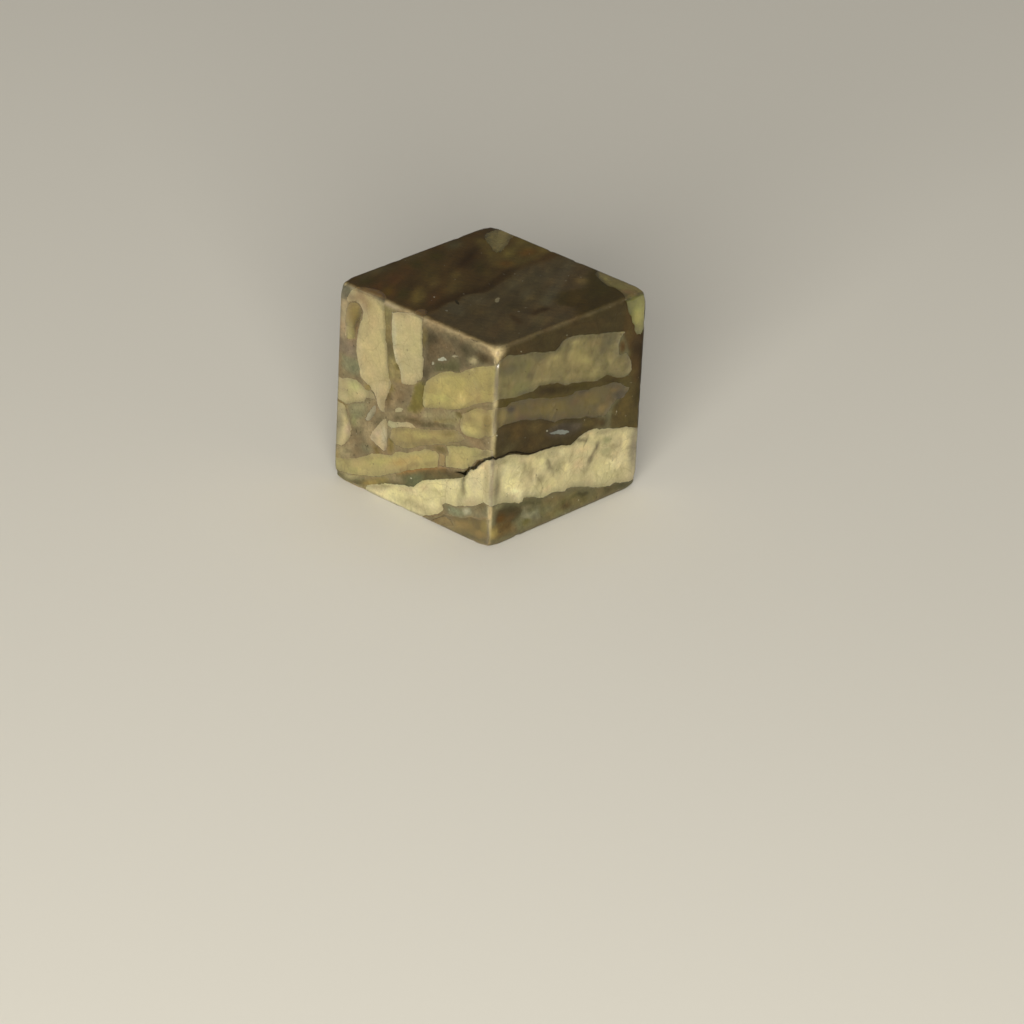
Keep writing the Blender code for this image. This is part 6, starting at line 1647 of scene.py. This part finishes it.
def metal_material():
    """Etched nickel-iron: cloudy grain, faint crossed lamellae, polishing scratches, pits and pale inclusions."""
    m = material("nickel_iron")
    t = Tree(m.node_tree)
    where = t.node("ShaderNodeTexCoord").outputs["Object"]
    attribute = t.node("ShaderNodeAttribute")
    attribute.attribute_name = "tint"
    tint, metal = attribute.outputs["Color"], attribute.outputs["Alpha"]
    cloud, _ = t.noise(t.shifted(where, 500.0, 0.0006), 700.0, 5.0, 0.6)
    colour = t.mix(1.0, tint, t.ramp(cloud, (0.28, 0.87), (0.5, 1.0), (0.75, 1.13)), "MULTIPLY")
    # the metal flowed round the crystals: its grain is drawn out along one direction through the whole cube
    drawn = t.drawn_out(t.shifted(where, 300.0, 0.0008))
    flow, _ = t.noise(drawn, 900.0, 4.0, 0.6)
    colour = t.mix(1.0, colour, t.ramp(flow, (0.3, 0.86), (0.5, 1.0), (0.7, 1.15)), "MULTIPLY")
    warm, _ = t.noise(drawn, 380.0, 2.0)
    colour = t.mix(1.0, colour, t.ramp(warm, (0.32, (1.06, 0.98, 0.94)), (0.5, (1.0, 1.0, 1.0)), (0.68, (0.96, 1.01, 1.0))), "MULTIPLY")
    fine, _ = t.noise(where, 4200.0, 3.0, 0.7)
    colour = t.mix(1.0, colour, t.ramp(fine, (0.3, 0.86), (0.7, 1.12)), "MULTIPLY")
    # lamellae in three crossing directions, faint and broken
    patch, _ = t.noise(where, 260.0, 2.0)
    for k, turn in enumerate(((0.5, 0.9, 0.2), (-0.7, 0.3, 1.1), (1.2, -0.5, 2.0))):
        wave = t.node("ShaderNodeTexWave", Vector=t.turned(t.shifted(where, 900.0, 0.00035), turn, (1, 1, 1)), Scale=330.0 + 70 * k, Distortion=1.5, Detail=2.0)
        mask = t.ramp(patch, (0.30 + 0.12 * k, 0.0), (0.42 + 0.12 * k, 1.0), (0.62 + 0.1 * k, 0.0))
        line = t.math("MULTIPLY", t.ramp(wave.outputs["Fac"], (0.55, 0.0), (0.9, 1.0)), mask)
        colour = t.mix(t.math("MULTIPLY", line, 0.30), colour, t.mix(1.0, colour, (1.35, 1.32, 1.25), "MULTIPLY"))
    # dark joints and pits
    joints = t.lines(t.shifted(where, 700.0, 0.0011), 420.0, 0.004, 0.045)
    colour = t.mix(t.math("MULTIPLY", joints, 0.16), colour, t.mix(1.0, colour, (0.42, 0.38, 0.30), "MULTIPLY"))
    pits, _ = t.noise(where, 2600.0, 1.0)
    pit = t.ramp(pits, (0.70, 0.0), (0.76, 1.0))
    colour = t.mix(t.math("MULTIPLY", pit, 0.55), colour, (0.03, 0.024, 0.016))
    bright, _ = t.noise(t.turned(where, (0.3, 0.4, 0.8), (1.0, 1.0, 1.0)), 1500.0, 1.5)
    speck = t.ramp(bright, (0.735, 0.0), (0.775, 1.0))
    colour = t.mix(t.math("MULTIPLY", speck, 0.5), colour, (0.46, 0.44, 0.34))
    rough = t.ramp(cloud, (0.3, 0.30), (0.7, 0.46))
    scratch, _ = t.noise(t.turned(where, (0.2, 0.4, 0.6), (0.25, 6.0, 3.0)), 2600.0, 2.0, 0.6)
    height = t.math("ADD", t.math("MULTIPLY", scratch, 0.35), t.math("MULTIPLY", pit, -1.2))
    height = t.math("ADD", height, t.math("MULTIPLY", joints, -0.8))
    bump = t.node("ShaderNodeBump", Strength=0.25, Distance=0.00002, Height=height)
    shader = t.node("ShaderNodeBsdfPrincipled", Base_Color=colour, Metallic=metal, Roughness=rough, Normal=bump.outputs[0])
    shader.inputs["Specular IOR Level"].default_value = 0.12
    out = t.node("ShaderNodeOutputMaterial")
    t.link(shader.outputs[0], out.inputs["Surface"])
    return m


def bed_material():
    """Broken olivine at the bottom of a pocket: chips of slightly different colour, dark joints, milky clouds."""
    m = material("olivine_bed")
    t = Tree(m.node_tree)
    where = t.node("ShaderNodeTexCoord").outputs["Object"]
    attribute = t.node("ShaderNodeAttribute")
    attribute.attribute_name = "tint"
    colour = attribute.outputs["Color"]
    wander = t.shifted(where, 480.0, 0.0014)
    chips = t.cells(wander, 400.0)
    value = t.node("ShaderNodeSeparateColor", Color=chips).outputs[0]
    colour = t.mix(1.0, colour, t.ramp(value, (0.0, 0.90), (1.0, 1.08)), "MULTIPLY")
    cloud, _ = t.noise(t.drawn_out(wander, 2.2), 620.0, 4.0, 0.6, 0.3)
    colour = t.mix(1.0, colour, t.ramp(cloud, (0.28, 0.88), (0.5, 1.0), (0.72, 1.10)), "MULTIPLY")
    grain, _ = t.noise(where, 3600.0, 3.0, 0.7)
    colour = t.mix(1.0, colour, t.ramp(grain, (0.3, 0.88), (0.7, 1.1)), "MULTIPLY")
    hue, _ = t.noise(t.drawn_out(t.shifted(where, 300.0, 0.001), 2.5), 340.0, 3.0, 0.6)
    colour = t.mix(1.0, colour, t.ramp(hue, (0.32, (1.04, 0.99, 1.01)), (0.5, (1.0, 1.0, 1.0)), (0.68, (0.98, 1.0, 0.93))), "MULTIPLY")
    wide = t.lines(wander, 300.0, 0.0, 0.028)
    thin = t.lines(t.shifted(where, 900.0, 0.0009), 850.0, 0.0, 0.035)
    broken, _ = t.noise(where, 330.0, 2.0)
    where_thin = t.math("MULTIPLY", thin, t.ramp(broken, (0.48, 0.0), (0.62, 0.7)))
    where_wide = t.math("MULTIPLY", wide, t.ramp(broken, (0.35, 0.1), (0.6, 0.75)))
    joints = t.math("MAXIMUM", where_wide, where_thin)
    colour = t.mix(t.math("MULTIPLY", joints, 0.55), colour, t.mix(1.0, colour, (0.50, 0.44, 0.32), "MULTIPLY"))
    specks, _ = t.noise(where, 1700.0, 1.0)
    colour = t.mix(t.math("MULTIPLY", t.ramp(specks, (0.73, 0.0), (0.78, 1.0)), 0.5), colour, (0.10, 0.08, 0.04))
    bump = t.node("ShaderNodeBump", Strength=0.35, Distance=0.00006, Height=t.math("SUBTRACT", cloud, t.math("MULTIPLY", joints, 0.6)))
    shader = t.node("ShaderNodeBsdfPrincipled", Base_Color=colour, Roughness=0.55, Normal=bump.outputs[0])
    out = t.node("ShaderNodeOutputMaterial")
    t.link(shader.outputs[0], out.inputs["Surface"])
    return m


def clear_material(name, tone, density, rough, level):
    """Clear olivine: plain transmission, olivine's index and an absorption colour."""
    m = material(name)
    t = Tree(m.node_tree)
    attribute = t.node("ShaderNodeAttribute")
    attribute.attribute_name = "tint"
    shader = t.node("ShaderNodeBsdfPrincipled")
    shader.inputs["Base Color"].default_value = (1.0, 1.0, 1.0, 1.0)
    # the scuffed edges are duller
    t.link(t.math("MULTIPLY_ADD", attribute.outputs["Alpha"], 0.15, rough), shader.inputs["Roughness"])
    shader.inputs["IOR"].default_value = 1.65
    shader.inputs["Specular IOR Level"].default_value = level
    shader.inputs["Transmission Weight"].default_value = 1.0
    volume = t.node("ShaderNodeVolumeAbsorption")
    volume.inputs["Color"].default_value = (*tone, 1.0)
    volume.inputs["Density"].default_value = density
    out = t.node("ShaderNodeOutputMaterial")
    t.link(shader.outputs[0], out.inputs["Surface"])
    t.link(volume.outputs[0], out.inputs["Volume"])
    return m


build_metal([metal_material(), bed_material()])
build_crystals("olivine_pale", ("pale",), clear_material("olivine_pale", (0.93, 0.90, 0.70), 250.0, 0.05, 0.30))
build_crystals("olivine_honey", ("honey",), clear_material("olivine_honey", (0.93, 0.84, 0.55), 300.0, 0.05, 0.22))
build_crystals("olivine_green", ("olive",), clear_material("olivine_green", (0.80, 0.88, 0.50), 350.0, 0.05, 0.22))
build_crystals("olivine_smoky", ("smoke",), clear_material("olivine_smoky", (0.85, 0.74, 0.55), 400.0, 0.06, 0.20))


# ------------------------------------------------------------------------------------------ floor, light and camera
def floor_material():
    m = material("studio_floor")
    t = Tree(m.node_tree)
    where = t.node("ShaderNodeTexCoord").outputs["Object"]
    mottle, _ = t.noise(where, 4.0, 2.0)
    colour = t.ramp(mottle, (0.3, (0.66, 0.64, 0.58)), (0.7, (0.69, 0.67, 0.61)))
    shader = t.node("ShaderNodeBsdfPrincipled", Base_Color=colour, Roughness=0.8)
    out = t.node("ShaderNodeOutputMaterial")
    t.link(shader.outputs[0], out.inputs["Surface"])
    return m


floor_mesh = bpy.data.meshes.new("floor")
reach_out = 4.0
floor_mesh.from_pydata([(-reach_out, -reach_out, 0), (reach_out, -reach_out, 0), (reach_out, reach_out, 0), (-reach_out, reach_out, 0)], [], [(0, 1, 2, 3)])
floor_mesh.materials.append(floor_material())
floor = bpy.data.objects.new("floor", floor_mesh)
bpy.context.scene.collection.objects.link(floor)

middle = Vector((0.0, 0.0, HALF * MM))


def direction(azimuth, elevation):
    a, e = math.radians(azimuth), math.radians(elevation)
    return Vector((math.sin(a) * math.cos(e), -math.cos(a) * math.cos(e), math.sin(e)))


def lamp(name, azimuth, elevation, distance, size, power, colour=(1.0, 1.0, 1.0)):
    light = bpy.data.lights.new(name, "AREA")
    light.shape, light.size, light.energy, light.color = "DISK", size, power, colour
    obj = bpy.data.objects.new(name, light)
    towards = direction(azimuth, elevation)
    obj.location = middle + towards * distance
    obj.rotation_mode = "QUATERNION"
    obj.rotation_quaternion = towards.to_track_quat("Z", "Y")
    bpy.context.scene.collection.objects.link(obj)
    return obj


lamp("key", 38.0, 10.0, 0.9, 0.7, 25.0, (1.0, 0.96, 0.87))
lamp("overhead", 200.0, 70.0, 1.2, 0.9, 2.0, (1.0, 0.98, 0.95))

world = bpy.data.worlds.new("studio")
world.use_nodes = True
world.node_tree.nodes["Background"].inputs["Color"].default_value = (1.0, 0.97, 0.92, 1.0)
world.node_tree.nodes["Background"].inputs["Strength"].default_value = 0.15
bpy.context.scene.world = world

# The lens looks slightly past the cube, as the photograph does, and leans by under three degrees.
back = direction(42.42, 25.02)
right = Vector((math.cos(math.radians(42.42)), math.sin(math.radians(42.42)), 0.0))
up = back.cross(right)
lean = math.radians(2.82)
right, up = right * math.cos(lean) + up * math.sin(lean), up * math.cos(lean) - right * math.sin(lean)
focal = 5205.0
yaw = math.atan2(-22.6, focal)
pitch = math.atan2(127.9, math.hypot(focal, -22.6))
tilt = Matrix(((1, 0, 0), (0, math.cos(pitch), -math.sin(pitch)), (0, math.sin(pitch), math.cos(pitch))))
swing = Matrix(((math.cos(yaw), 0, -math.sin(yaw)), (0, 1, 0), (math.sin(yaw), 0, math.cos(yaw))))
axes = swing @ tilt @ Matrix((right, up, back))
camera_data = bpy.data.cameras.new("camera")
camera_data.sensor_width = 36.0
camera_data.lens = 36.0 * focal / 1024.0
camera_data.clip_start, camera_data.clip_end = 0.01, 20.0
camera = bpy.data.objects.new("camera", camera_data)
camera.matrix_world = Matrix.Translation(middle + back * 0.6) @ axes.transposed().to_4x4()
bpy.context.scene.collection.objects.link(camera)
bpy.context.scene.camera = camera

bpy.context.scene.view_settings.view_transform = "Standard"
bpy.context.scene.view_settings.look = "None"
